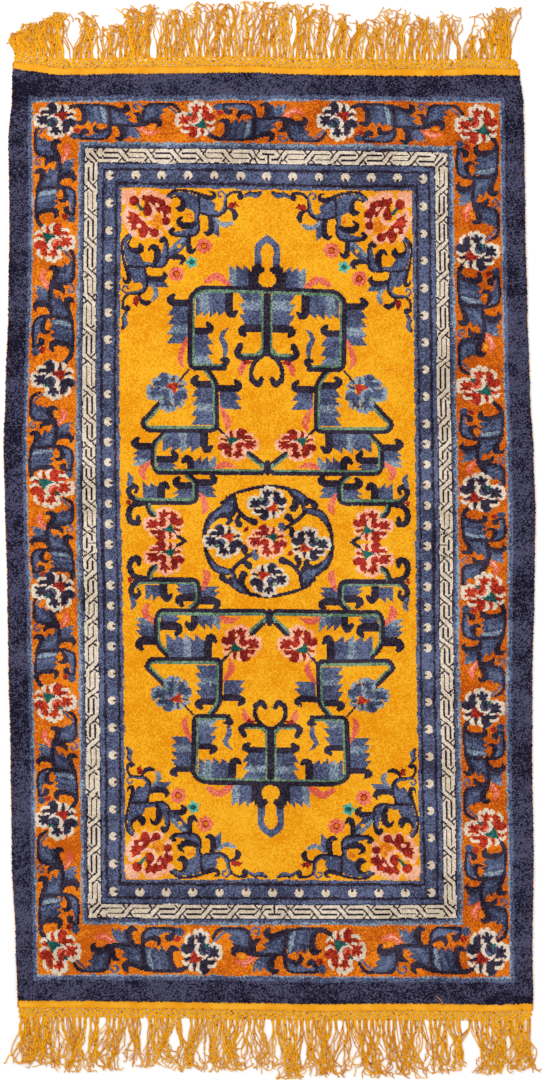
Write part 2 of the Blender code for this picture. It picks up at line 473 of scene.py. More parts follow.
# Comb leaves: root x, y, tip x, y, depth, teeth, pale part or none
for row in [
    (78, 241, 78, 197, 21, 4, (26, 34)),
    (34, 248, 71, 248, -25, 4, (24, 33)),
    (72, 213, 72, 176, -19, 3, (29, 37)),
    (6, 209, 6, 248, -22, 3, (23, 32)),
    (53, 160, 53, 116, 22, 4, (23, 30)),
    (47, 156, 47, 132, -22, 2, None),
    (59, 109, 104, 109, -21, 4, (21, 28)),
    (109, 85, 109, 69, -21, 2, None),
    (80, 69, 51, 69, -16, 3, (22, 29)),
    (115, 98, 115, 75, 19, 3, (17, 23)),
    (102, 43, 124, 43, 16, 2, None),
    (74, 59, 74, 42, 20, 2, None),
    (69, 62, 69, 44, -19, 2, None),
]:
    quarter.leaf(row[0:2], row[2:4], *row[4:])
quarter.leaf((9, 254), (37.5, 254), 22, 4, (22, 30), claw=False, band=9.5)

# Coral leaves: (x, y, width) points
for points in [
    [(78.5, 203, 2.5), (84, 190, 5.5), (85.5, 180, 5.5), (82.5, 173, 1)],
    [(60, 259, 5.5), (51, 264, 7), (43, 260, 7), (36, 254, 2.5)],
    [(47.5, 135, 1.5), (42.5, 127, 5.5), (39, 118, 6.5), (41.2, 110, 1.5)],
    [(115.5, 79, 3), (124, 70, 7.5), (121.5, 62, 3)],
    [(53, 70.5, 2.5), (46, 75.5, 6), (39, 76, 5.5), (31, 73.5, 1)],
    [(67, 47, 2.5), (63.5, 39, 6.5), (62, 33, 6.5), (65, 27, 1)],
    [(26.5, 165, 1.5), (25, 172, 6.5), (22, 179, 6.5)],
]:
    quarter.stroke("coral", points)
quarter.stroke("dark red", [(21.5, 178.5, 5), (16, 178.5, 2.5)])

# Arch and fork on the middle column
quarter.stroke("blue", [(9, 278, 7), (9.6, 290, 6.6), (7.5, 297, 6.6), (0, 303, 6.6)])
quarter.stroke("ink", [(0, 249, 4), (10, 258, 4), (12, 266, 8), (9.5, 274, 8)])
quarter.disc("ink", 6.4, 271.6, 3.6)
quarter.stroke("ink", [(0, 249, 7), (0, 188, 7)])
quarter.stroke("ink", [(0, 190, 5), (12.5, 178, 4.6), (15.6, 168, 4.6), (14.5, 160, 5.5)])
quarter.stroke("ink", [(14.5, 161, 5.5), (9, 156.5, 6.5), (5.4, 162, 5.0)])

# Bars with their green line
quarter.bar([(42, 172), (76.2, 172), (76.2, 244), (67, 252.6), (2, 252.6)])
quarter.bar([(2, 190), (9, 182.6), (25, 182.6)])
quarter.stroke("leaf green", [(8, 249, 2.3), (4.8, 245, 2.3), (4.6, 190, 2.3),
                              (8, 186, 2.3)], smooth=False)
quarter.stroke("ink", [(24, 182, 5.4), (29.4, 187, 6.4), (26.4, 195, 6.4)])
quarter.bar([(59, 171), (49.6, 159), (49.6, 110), (120, 110), (124.6, 118),
             (104, 140)], width=4.2)
quarter.stroke("ink", [(77, 171, 2.2), (87, 159, 2.2)])
quarter.stroke("ink", [(49, 112, 3), (40, 104, 2.4)])
quarter.bar([(22, 91), (3.6, 76.5)], width=4.0)
quarter.bar([(6, 67.5), (109, 67.5), (113.6, 73), (113.6, 98), (103, 107)], width=3.6)
quarter.stroke("leaf green", [(6, 77, 2.2), (3, 73, 2.2), (6, 70, 2.2)])
quarter.stroke("ink", [(0, 78, 6.4), (0, 69, 6.4)])
quarter.stroke("ink", [(0, 71, 4), (7, 67.6, 4)])
quarter.bar([(79, 67), (70.6, 60), (70.6, 38), (129, 38), (136.6, 43)], width=4.2)
quarter.stroke("ink", [(133, 40, 5), (138, 49, 5.6), (134, 55, 5.6), (129.6, 52, 4.6),
                       (131, 48, 3)])
quarter.stroke("blue", [(137.6, 56, 4.4), (135.4, 62, 5.4), (138, 67, 1.4)])
quarter.stroke("ink", [(124, 37, 5), (134, 35, 6), (138.2, 27, 6), (136, 19, 6.5),
                       (129.6, 18, 6.5), (129, 23.6, 4)])
quarter.disc("dark red", 138.6, 38.6, 2.6)
quarter.bar([(120.5, 36), (119.5, 30), (107, 17)], width=3.8, side=-1)
quarter.stroke("ink", [(95, 9, 4), (82, -1, 4)])

# Curled tail inside the upper bar
quarter.stroke("ink", [(43, 173, 5), (40.4, 180, 7), (45.6, 180.6, 3)])
quarter.stroke("blue", [(41.6, 186, 4), (41.4, 194, 6), (44.8, 202, 5), (43, 208, 4),
                        (38.4, 212, 1)])


# Corner figures, drawn once in (p, q): distances from the field's side and end,
# inside a square of so many knots
CORNER = (146, 146)


def corner_arm(turned):
    """One arm of the corner scroll; the other is the same with p and q changed over."""
    arm = Chart((0, 0), CORNER)
    # Bodies
    for silk, outline in [
        ("indigo", [(52, 5), (57, 3.4), (65, 3.6), (74, 5.6), (78.4, 10), (78.4, 25), (72, 23),
                    (66, 20), (61, 19), (60.4, 9), (56, 8)]),
        ("indigo", [(78, 8), (84, 8), (90, 11.6), (93.6, 13.4), (95.4, 18), (93, 19.4), (99, 24.6),
                    (88, 26), (78, 25)]),
        ("indigo", [(91, 28.4), (96.4, 29.6), (98.2, 36), (99, 49.6), (94, 45.2), (91, 42)]),
        ("indigo", [(62, 49), (68, 48), (66.6, 56), (60.4, 62.4), (54, 66), (48, 68.6), (49, 61),
                    (56, 53)]),
    ]:
        arm.patch(silk, outline)
    # Lights on them
    for silk, points in [
        ("indigo", [(46.4, 10.4, 4.4), (50, 6.6, 4.4), (54, 5, 3)]),
        ("indigo", [(75.4, 24, 4.6), (76, 34, 5), (73, 41, 7), (65, 44.4, 6.4), (54, 45.4, 3.6)]),
        ("blue", [(57, 5.4, 2.4), (64, 7, 4.4), (70, 11.4, 5.6), (75, 18.6, 3.6)]),
        ("blue", [(75, 25, 2.4), (75.6, 34, 3), (72.4, 40.4, 4.6), (65, 43.4, 4.4),
                  (55, 44.8, 2.4)]),
        ("blue", [(80.6, 13, 2), (85, 15, 5), (90, 18.6, 4)]),
        ("blue", [(82, 21.6, 4), (90, 22.4, 3.4)]),
        ("blue", [(94, 32, 3), (95.4, 40, 3)]),
        ("pale blue", [(65, 49.4, 2), (60, 52.4, 4), (54, 57.6, 4.6), (49.6, 62, 3)]),
        ("pale blue", [(96, 29.8, 2), (99.6, 34.2, 4), (104.4, 36.4, 5.2), (109, 34.4, 4.4),
                       (112.6, 33, 1)]),
        ("indigo", [(123, 7.6, 2.6), (129, 5, 4), (135, 6, 5), (139.6, 4.2, 2.6),
                    (141.6, 2.8, 1)]),
        ("blue", [(125, 7, 2), (130, 5.6, 2.4), (136, 6.4, 2.6)]),
    ]:
        arm.stroke(silk, points)
    arm.disc("gold", 58.6, 57.6, 1.9)
    if not turned:
        arm.stroke("dark orange", [(66, 25.4, 2), (69.4, 26.6, 5), (71.4, 30, 3)])
    # Dark outlines and claws: (p, q, width) points
    for points in [
        [(45, 9, 1.6), (48.6, 5, 1.8), (53, 2.6, 2.8), (60, 1.8, 2.6), (70, 3.0, 2.6),
         (78, 5.4, 3.4), (84, 8.0, 4.6), (90, 9.4, 5.4), (93.6, 7.4, 4.4), (92.6, 4.4, 2.8),
         (89.6, 3.6, 1.4)],
        [(49.6, 11.2, 1.4), (54, 8.4, 2), (58, 8.4, 2.4), (61, 11, 3.4)],
        [(60.6, 8.6, 3), (62.2, 12.7, 4.2), (62.8, 17, 6.4), (60, 20.6, 7), (55.6, 19.4, 1.8)],
        [(78.2, 6, 2.4), (78.6, 24, 2.6), (77.8, 29, 2.2), (78.8, 37, 2.4), (77.6, 42.6, 2.6),
         (73.6, 46.6, 2.6), (66, 48, 2.4), (56, 47.2, 2.2), (52.4, 45.6, 4), (50.8, 42.6, 6.2),
         (53.6, 40.6, 3)],
        [(75, 34.6, 4.6), (69, 37.2, 6.4), (62.4, 36.8, 7.2), (58, 33.8, 5.4), (59, 30.4, 3.6),
         (62.4, 28.2, 1.4)],
        [(78.4, 24.4, 2.4), (86, 26.2, 2.6), (94, 27.4, 2.8), (100, 25.8, 3.4), (104.4, 20.8, 3.8),
         (105.4, 13, 3.4), (105.6, 7.8, 3)],
        [(105.4, 8.4, 3), (109, 4.8, 2.8), (114, 3.0, 2.8), (119, 3.6, 4), (119.8, 7.4, 5.8),
         (119.6, 9.2, 4)],
        [(104.6, 18.6, 3), (109, 19.8, 3), (113, 22.2, 4.8), (114.4, 26, 6.2), (113.6, 29.4, 4.4)],
        [(88.8, 28, 4), (90.8, 35, 6), (90.4, 41, 6.2), (87.4, 45, 5.2), (83.8, 44, 2.4)],
        [(68.4, 47, 4.4), (68.4, 54, 5), (68.6, 60.4, 6.4), (71.6, 63, 5.2), (75.4, 59.6, 1.8)],
        [(123, 6.4, 1.2), (128.6, 2.9, 1.6), (134, 3.6, 1.4), (139, 2.8, 1.6), (141.6, 2.2, 1)],
    ]:
        arm.stroke("ink", points)
    curl = [(86, 24.4, 1.2), (94, 25.2, 1.6), (99, 23.6, 2), (103, 19, 2.2), (104, 12, 2.2),
            (104.6, 7.4, 2.2), (103.4, 4, 2.0), (100.6, 2.8, 1.8), (98, 4.4, 1.8),
            (98.2, 7.4, 2.2), (100.2, 8.2, 2.4)]
    arm.stroke("blue", curl)
    arm.patch("dark red", [(107.3, 18.6), (108.2, 14.5), (111.4, 12.7), (113, 14), (114.8, 12.7),
                           (119, 17.4), (115.2, 18.2), (112.2, 19.4)])
    return arm.silk.T if turned else arm.silk


corner = Chart((0, 0), CORNER)
for turned in (True, False):
    corner.silk = overlay(corner.silk, corner_arm(turned))

bloom = Chart((-27, -27), (27, 27))
# Pale rims: x, y, radius
for x, y, radius in [
    (-19.6, 18, 6.4), (-14.6, 20, 4.6), (-21.6, 13, 4.4), (-18, 3.4, 4.2), (-21.4, -2.4, 3.6),
    (-21.2, -8.2, 3.4), (-18, -12.4, 3.4), (-14.6, -17.4, 3.6), (-12.4, -20.4, 3.2),
    (-10.6, 1.4, 3), (-6.6, 15, 3.6), (-8, 9.6, 2.6), (-2.4, 20.6, 3.8), (3.4, 21.4, 3.8),
    (9.2, 18.6, 3.8), (16, 16.6, 3.4), (21, 12.6, 3.6), (20.6, -2, 3.8), (20.4, -12.8, 4),
    (1.2, -20.6, 3.4), (4, -13.6, 2.6), (12.6, -20, 4), (8.6, -23, 2.6), (-4, -23.6, 2.8),
]:
    bloom.disc("pink", x, y, radius)
# Glow of the heart, and the bud: x, y, radius
for silk, x, y, radius in [
    ("dark orange", 9.6, -8.4, 6.6),
    ("red", -12.5, 12.4, 5.2),
    ("dark red", -10.8, 12, 3.4),
    ("red", -13.6, 13, 3.2),
]:
    bloom.disc(silk, x, y, radius)
# Petals, run together
for outline in [
    [(-3.4, 3), (-2.4, 10), (-6, 12.6), (-4, 18.6), (1.4, 17.2), (4.4, 20.2), (6.6, 17),
     (11.6, 17), (12.6, 14.8), (17.4, 14.8), (19.2, 9.6), (25, 5.6), (24.6, 1.2), (17, -1.2),
     (11.4, 1.2), (7, 6.4), (3.6, 9.6), (1, 5.6)],
    [(-7.4, -1.6), (-13, 1), (-18.6, 2.4), (-16.6, -2.4), (-21, -4), (-17.4, -6.8), (-19.4, -9.6),
     (-14.6, -10), (-15.6, -16.4), (-8.6, -15.6), (-7.6, -20), (0.4, -20), (3.2, -16),
     (-1.6, -8.4)],
    [(3.4, 8.8), (6, 3), (4.4, -1.6), (-1.6, -3), (-4, 1), (-1.6, 5.8)],
]:
    bloom.patch("dark red", outline)
# Single petals, lights and the crescent's pale rim: (x, y, width) points
for silk, points in [
    ("dark red", [(18, 1, 3), (18.2, -4, 4.0), (19.4, -7.4, 8.4)]),
    ("dark red", [(-4, -17, 6), (-3.6, -20.4, 8)]),
    ("dark red", [(0, -14, 4), (5, -17, 4.4), (8.2, -19.2, 9)]),
    ("red", [(-2.4, 17.4, 2.6), (1.4, 14, 4.0), (4.6, 17.6, 2.4)]),
    ("red", [(9.4, 14.6, 3.0), (14.4, 13.2, 3.8)]),
    ("red", [(-16.6, 0.4, 2.2), (-13.4, -3.4, 4.0), (-16.6, -7.8, 2.4)]),
    ("red", [(-12, -5, 3.4), (-7, -5.6, 3)]),
    ("red", [(-4.4, -21.4, 4), (-3.4, -20.6, 4)]),
    ("red", [(0.6, 3.6, 1.6), (-1.4, 0.4, 2.8)]),
    ("pink", [(3, 10.4, 1.8), (6.8, 6, 3.0), (7.6, 1, 3.8), (4.6, -4, 4.0), (-1.4, -6, 3.6),
              (-7.4, -2.8, 1.8)]),
    ("pink", [(10.4, 9.0, 3.4), (11.2, 8.4, 3.4)]),
    ("pink", [(14.6, 1.8, 1.8), (16, -2.6, 2.6)]),
    ("pink", [(-8, -12.2, 4.4), (-7, -12.0, 4.2)]),
    ("gold", [(-2.4, 10.6, 1.6), (-5.2, 13.6, 1.4)]),
    ("bottle green", [(-8.4, 8.2, 3.2), (-4.4, 3.8, 3.2)]),
]:
    bloom.stroke(silk, points)

red_bloom = peony("dark red", "pink", "bottle green", "red", "pink")
blue_bloom = peony("slate", "pale blue", "red", "blue", "leaf green")

# Border scroll between two flowers: x is the distance from the border's outer
# edge and y how far it has run from one flower, out of SCROLL_RUN knots.
SCROLL_RUN = 118.0
scroll = Chart((0, 0), (45, SCROLL_RUN))
# Bodies of the leaves, toothed on one side
for silk, outline in [
    ("slate", [(3, 18), (6.6, 19), (9.6, 23.4), (12, 20.6), (14.6, 25), (17.6, 23.4), (23, 34),
               (22, 39), (9, 39), (3, 33)]),
    ("slate", [(23, 42), (26, 42), (25.6, 67), (7, 67), (9, 60), (11.6, 52), (14, 54.4),
               (16.8, 48.4), (19.8, 52.4), (23, 46.6)]),
    ("blue", [(27, 49), (30, 43.4), (35, 41.4), (41.4, 40.4), (38, 44.6), (41, 46.6), (37.4, 49),
              (36, 56), (27, 57)]),
    ("slate", [(27, 51), (37, 50), (41, 52.6), (38, 54), (38, 58), (27, 58)]),
    ("slate", [(4, 69), (25.4, 69), (25.4, 71.6), (22.4, 74.6), (25.4, 77.6), (20.8, 80.2),
               (25.2, 82.6), (20.8, 86.2), (22, 90), (4, 93)]),
    ("blue", [(31, 68.4), (37.4, 69), (41, 75), (40.8, 87), (38.4, 92.4), (36, 91), (37, 84.6),
              (35, 80.8), (31, 80), (33, 75)]),
    ("coral", [(27.4, 43.8), (32, 41.6), (35.4, 36.6), (37.2, 33.4), (34.8, 29), (31.8, 25),
               (30.4, 29.6), (31.2, 33.4), (29.6, 36.8), (27, 38.4)]),
]:
    scroll.patch(silk, outline)
# Lights on them
for silk, points in [
    ("blue", [(7, 24, 2), (9, 31, 4), (16, 32, 3)]),
    ("blue", [(14, 62, 3), (20, 60, 4), (23, 54, 2.6)]),
    ("blue", [(6, 80, 3.4), (14, 79, 4), (22, 76, 2)]),
    ("pale blue", [(6.6, 75, 2.4), (12, 72.8, 4), (22, 71.6, 3.2)]),
    ("pale blue", [(34.6, 43.2, 1.4), (39, 42.4, 1.6)]),
    ("pink", [(29.8, 41.2, 0.8), (33.2, 36.6, 1.0), (33.8, 32.4, 0.8)]),
    ("dark orange", [(27.6, 32.4, 3.6), (26.8, 29.6, 3)]),
    ("blue", [(5.6, 90, 1.4), (5.6, 97, 2), (8, 102, 2), (12, 106, 1.4)]),
]:
    scroll.stroke(silk, points)
# Dark stems, outlines and claws: (x, y, width) points
for points in [
    [(11.6, 8, 3.0), (5.4, 12, 3.6), (3.2, 18, 3.0), (3, 26, 2.4), (3.6, 33, 3.2), (8.6, 38, 3.2),
     (25, 39.4, 3)],
    [(27.2, 27, 1.6), (25.2, 25, 4), (21.6, 26, 6.2), (20.6, 30, 6.6), (22, 34.4, 5.4),
     (24.6, 38.6, 4.2)],
    [(24.4, 37, 4.4), (26.2, 44, 3.8), (26.4, 52, 3.8), (25.6, 60, 3.6), (25, 68, 3.4)],
    [(25, 42.4, 2.4), (18.4, 41.6, 5), (14.4, 43.2, 4.8), (12.6, 46.6, 2.2)],
    [(3, 54.4, 2), (6, 52.4, 5), (9.6, 53.4, 6.2), (9.4, 58.6, 5), (7, 64, 4.2), (5, 69.4, 3.8),
     (4.2, 74, 3)],
    [(26.8, 59, 4), (31, 56.4, 5.4), (36.4, 55.6, 6), (40.2, 57.8, 5.2), (39.2, 62.4, 1.6)],
    [(4.8, 70.4, 3.4), (10, 67.8, 3.4), (20, 67.2, 3.4), (31, 66.8, 3.2), (37, 68.4, 2.8),
     (40.6, 73, 2.6), (41, 84, 2.6)],
    [(4.2, 72, 2.8), (3.2, 84, 2.6), (3.8, 94, 4.0), (5, 99.4, 4.6), (8, 104, 4.4),
     (11.4, 109, 3)],
    [(4.4, 95.4, 3.4), (7.6, 91.6, 4.4), (13, 89.8, 5.2), (19, 89.4, 5.8), (23, 91, 6),
     (22.8, 94.6, 3.8), (21.2, 97, 1.4)],
    [(25.4, 79.4, 1.6), (28.4, 80.4, 3.6), (31.4, 79, 4.8), (32.2, 75.4, 4.6), (31, 71.4, 3.8),
     (28.6, 68.2, 3)],
    [(40.8, 84, 2.8), (40.2, 91, 3.2), (38, 96, 5)],
    [(38, 94, 3.4), (34.6, 91.6, 4), (32.2, 88.6, 6), (34.6, 86, 1.8)],
]:
    scroll.stroke("ink", points)
scroll.stroke("blue", [(17.4, 6.6, 1.8), (11, 12.6, 2), (6, 17.6, 2)])
scroll.stroke("blue", [(8.6, 38.6, 1.4), (4.6, 40.2, 1.8), (3, 43.4, 2), (5, 46.4, 2),
                       (8, 45.4, 1.8), (7.6, 42.6, 1.4)])
scroll.disc("slate", 37.8, 97.4, 3.8)
scroll.patch("dark red", [(31.6, 92.4), (34.6, 95.4), (32.4, 99), (28.6, 96.6), (28.8, 93.6)])

# Medallion: x and y from its middle, and how far it reaches each way
MEDALLION = np.array([70, 63])
medallion = Chart(-MEDALLION, MEDALLION)


def medallion_half():
    """The upper half of its ring; the lower half is the same, turned half round."""
    half = Chart(-MEDALLION, MEDALLION)
    # Bodies and their lights
    for silk, outline in [
        ("ink", [(-33, 45), (-38, 43), (-41, 45.6), (-43, 41), (-47.6, 39), (-46, 35), (-49, 34),
                 (-53, 30), (-58, 28), (-62, 21), (-64.6, 14), (-65.6, 3), (-61.6, 3), (-60, 10),
                 (-56, 17), (-50, 21), (-46, 25), (-42, 24), (-36, 22), (-32, 27), (-30.6, 34)]),
        ("indigo", [(-34, 42), (-37.4, 39), (-40, 41), (-41, 37), (-45, 36), (-46, 32),
                    (-52, 28.4), (-58, 20), (-61, 12), (-57, 16), (-50, 22.6), (-45, 27),
                    (-38, 28), (-34, 33)]),
        ("ink", [(18, 54), (30, 52), (38, 46), (43, 41), (40, 36), (35, 35), (31.6, 38), (30, 34),
                 (27, 29.6), (22.6, 30), (20.6, 34), (23.6, 37), (24.4, 43), (20.6, 48)]),
    ]:
        half.patch(silk, outline)
    # (x, y, width) points
    for silk, points in [
        ("blue", [(-36, 38, 2), (-42, 31.4, 4), (-50, 25.8, 3.6), (-57, 18, 2)]),
        ("indigo", [(25, 50, 2), (32, 45.6, 4.4), (36.6, 40, 3.4)]),
        ("ink", [(-37, 44.6, 4.6), (-33, 47, 3), (-25, 49.8, 3.4), (-13, 53, 3.6), (0, 55, 3.6),
                 (10, 54.6, 3.4), (20, 52.6, 4.4)]),
        ("ink", [(-33, 46, 3), (-31.8, 40, 3.4), (-31, 33, 3.8), (-27, 27.4, 4.4), (-21, 22, 5),
                 (-13.4, 19, 7.4)]),
        ("ink", [(-28, 26, 4), (-30.6, 21, 5), (-28.8, 16.8, 7.4)]),
        ("ink", [(-52, 22, 3), (-46, 25.4, 5), (-40.6, 25, 5.4), (-37.4, 21, 5.4),
                 (-40, 17.6, 4)]),
        ("ink", [(38, 41, 5), (42.6, 40.6, 5), (46.4, 36.4, 7.6)]),
        ("ink", [(34, 37, 4), (36.6, 31.6, 5), (45, 30, 8), (53, 26.6, 8), (58.8, 18, 6),
                 (62.4, 8, 4), (63, -3, 3.6)]),
        ("indigo", [(36, 35, 2), (38, 31, 3), (45, 29.8, 4.2), (52.6, 26.6, 4.2),
                    (57.4, 19, 2.4)]),
        ("ink", [(37, 30, 4.6), (30, 22.6, 4), (23, 17.6, 4), (16.6, 12.6, 3.6),
                 (11.6, 9.4, 2.4)]),
        ("ink", [(28, 21.6, 3.4), (23.6, 21, 5), (19.8, 24.6, 7.6)]),
        ("ink", [(19, 14.6, 3.4), (23, 12.6, 4.4), (23.8, 7.4, 7.6)]),
        ("blue", [(12.8, 15.6, 7), (14, 12, 4), (15, 9, 2)]),
    ]:
        half.stroke(silk, points)
    half.patch("dark red", [(-25.6, 9.6), (-23, 14), (-18.8, 14.6), (-19.6, 10.4), (-23, 8.6)])
    return half.silk


drawn = medallion_half()
medallion.silk = overlay(drawn, drawn[::-1, ::-1])

# Fret: width of its band and of the dark lines in it, in knots
FRET_WIDTH = 12.2
FRET_LINE = 1.6


def fret_figure(low, high, lines, ways, width=FRET_LINE):
    """Dark lines on cream, drawn once for each pair of ways that x and y run."""
    figure = Chart(low, high)
    figure.silk[:] = SILK_NUMBER["cream"]
    for x_way, y_way in ways:
        for points in lines:
            course = [(x * x_way, y * y_way, width) for x, y in points]
            figure.stroke("ink", course, smooth=False)
    return figure


def fret_unit(run):
    """One repeat of the fret band, whose lines hook round each other: x is across
    the band, y along it, both from the middle."""
    half = run / 2.0
    lines = [
        [(-2.5, -half + 6.0), (-2.5, half - 5.6), (6.4, half + 2.0)],
        [(-2.5, -half - 5.6), (6.4, -half + 2.0)],
        [(6.4, half - 5.6), (3.0, half - 2.6)],
    ]
    return fret_figure((-FRET_WIDTH / 2, -half), (FRET_WIDTH / 2, half), lines, [(1, 1), (-1, -1)])


def fret_corner():
    """The turn where two fret bands meet, from the band's outer corner."""
    turn = Chart((0, 0), (17, 17))
    turn.silk[:] = SILK_NUMBER["cream"]
    past = round(FRET_WIDTH * turn.FINE)
    turn.silk[past:, past:] = 0
    for points in (
        [(7.2, -0.5), (14.0, 8.6), (17.5, 8.6)],
        [(12.6, 0.4), (10.2, 3.6)],
        [(3.6, 3.6), (11.8, 11.8)],
    ):
        turn.stroke("ink", [(x, y, FRET_LINE) for x, y in points], smooth=False)
        turn.stroke("ink", [(y, x, FRET_LINE) for x, y in points], smooth=False)
    return turn


def fret_middle():
    """The closed figure in the middle of each side, where the fret changes direction."""
    lines = [
        [(0, -6.8), (0, 1.6)],
        [(0, 2.3), (5.8, 2.3)],
        [(4, -2.5), (8.6, -2.5), (11, -0.6), (16, 6.8)],
        [(8.8, 6.8), (11, 3.4)],
        [(14.5, -0.4), (11.4, -6.8)],
    ]
    reach = np.array([14.5, FRET_WIDTH / 2])
    return fret_figure(-reach, reach, lines, [(1, 1), (-1, 1)], 1.8)


def pearl():
    """A pale bead with a notch on one side."""
    bead = Chart((-6, -6), (6, 6))
    bead.disc("cream", 0, 0, 4.2)
    bead.stroke("indigo", [(1.8, 0, 1.8), (5.4, 0, 4.6)])
    bead.disc("brown", 2.6, 0, 1.4)
    return bead


# The whole drawing, one square for each knot: the field's half width and half length,
# the knots from there to the edge, and the medallion's middle row. The weaver counts
# each change of dye by eye, so that its line wanders a little.
SIDE = 146
END = 345
MARGIN = 114.5
MIDDLE_ROW = -6.0
# How far a line drifts, in knots, and over how many knots
DRIFTS = [(1.4, 17), (0.7, 4)]
across = np.arange(0.5 - SIDE - MARGIN, SIDE + MARGIN)
along = np.arange(0.5 - END - MARGIN, END + MARGIN)
knots = np.zeros((len(along), len(across)), np.uint8)
knot_x, knot_y = np.meshgrid(across, along)
rng = np.random.default_rng(5)


def wander(count):
    """Drift of a line, in knots, at each knot along it."""
    drift = np.zeros(count)
    for strength, length in DRIFTS:
        drift += np.convolve(rng.normal(0.0, strength, count), np.full(length, 1 / length), "same")
    return drift


beside = np.abs(knot_x) - SIDE > np.abs(knot_y) - END
ring = np.maximum(np.abs(knot_x) - SIDE, np.abs(knot_y) - END)
# Grounds and lines: knots past the field's edge where each starts, and its silk
for start, silk in [
    (-400, "gold"),
    (0, "blue"),
    (3.2, "ink"),
    (5.8, "indigo"),
    (16.8, "ink"),
    (19.4, "blue"),
    (23.6, "ink"),
    (24.7, "cream"),
    (36.9, "ink"),
    (38.4, "indigo"),
    (41.4, "pale blue"),
    (44, "amber"),
    (87.5, "pale blue"),
    (89.0, "indigo"),
    (90.4, "blue"),
    (92.0, "indigo"),
    (92.8, "navy"),
]:
    drift = np.where(beside, wander(len(along))[:, None], wander(len(across))[None, :])
    knots[ring + drift >= start] = SILK_NUMBER[silk]


def stamp(figure, x, y, across=(1.0, 0.0), up=(0.0, 1.0)):
    """Knots a figure with its origin at (x, y), its own axes along across and up."""
    axes = np.linalg.inv(np.array([across, up], float).T)
    high = figure.low + np.array(figure.silk.T.shape) / figure.FINE
    corners = [(a, b) for a in (figure.low[0], high[0]) for b in (figure.low[1], high[1])]
    spread = np.array([np.array(across) * a + np.array(up) * b for a, b in corners]) + (x, y)
    near = (knot_x >= spread[:, 0].min()) & (knot_x <= spread[:, 0].max())
    near &= (knot_y >= spread[:, 1].min()) & (knot_y <= spread[:, 1].max())
    place = axes @ np.array([knot_x[near] - x, knot_y[near] - y])
    knots[near] = overlay(knots[near], figure.silk_at(*place))


# Rows from the middle row in the drawing, and as knotted in the lower half
LOWER_ROWS = [(0, 0), (39, 40), (69, 71), (113, 122),
              (174, 177), (253, 243), (305, 296), (351, 339)]
drawn_rows, lower_rows = np.array(LOWER_ROWS).T
field = (np.abs(knot_x) < SIDE) & (np.abs(knot_y) < END)
height = np.abs(knot_y - MIDDLE_ROW)
height = np.where(knot_y < MIDDLE_ROW, np.interp(height, lower_rows, drawn_rows), height)
distance = np.abs(knot_x)


def knot_quarters(figure, x, y, x_way=1, y_way=1):
    """Knots a figure into all four quarters, at (x, y) of the quarter drawing."""
    drawn = figure.silk_at((distance[field] - x) * x_way, (height[field] - y) * y_way)
    knots[field] = overlay(knots[field], drawn)


coral_flower = small_flower("coral", "dark red", "amber", 8, 7.6)
teal_flower = small_flower("teal", "bottle green", "bottle green", 5, 6.0)
knot_quarters(quarter, 0, 0)
knot_quarters(corner, SIDE, END - MIDDLE_ROW, -1, -1)
knot_quarters(bloom, 120, 326, -1, 1)
knot_quarters(coral_flower, 62.5, 294)
knot_quarters(coral_flower, 90, 266)
knot_quarters(teal_flower, 74.5, 277.5)


def knot_quarter_peony(figure, x, y, wide, tall, x_way, y_way):
    """Knots a peony, narrowed or flattened, into all four quarters."""
    half_width, half_height = PEONY_HALF * wide, PEONY_HALF * tall
    squeezed = Chart((-half_width, -half_height), (half_width, half_height))
    rows, columns = squeezed.silk.shape
    full_rows, full_columns = figure.silk.shape
    row = np.arange(rows) * full_rows // rows
    column = np.arange(columns) * full_columns // columns
    squeezed.silk = figure.silk[row][:, column]
    knot_quarters(squeezed, x, y, x_way, y_way)


# Flower, x, y, how wide and how tall it becomes, and which way round it lies
for flower in [
    (blue_bloom, 98.5, 147.5, 1.0, 1.0, -1, 1),
    (red_bloom, 28.5, 95.5, 1.02, 0.82, 1, 1),
    (red_bloom, 103.5, 17, 0.98, 0.86, -1, -1),
]:
    knot_quarter_peony(*flower)

stamp(medallion, 0, MIDDLE_ROW)
ring_bloom = peony("ink", "cream", "red", "indigo", "leaf green")
RING_WIDE, RING_TALL = 0.98, 0.86
# Flower, x, y, and which way round it lies, each of them a little squeezed
for figure, x, y, across_way, up_way in [
    (ring_bloom, -45, -7, 1, 1),
    (ring_bloom, -1, 32, 1, -1),
    (ring_bloom, 42, -8, -1, -1),
    (ring_bloom, 0, -45, -1, 1),
    (red_bloom, -1.5, -7, 1, 1),
]:
    stamp(figure, x, y, (RING_WIDE * across_way, 0), (0, RING_TALL * up_way))

# Border flowers and the scrolls between them
navy_bloom = peony("ink", "cream", "dark red", "indigo", "bottle green")
rose_bloom = peony("red", "cream", "bottle green", "coral", "bottle green", halo=0.4)

# Width of the border, and its outer edges from the rug's middle, in knots
BORDER = 44.0
BORDER_EDGE = np.array([234.0, 432.5])

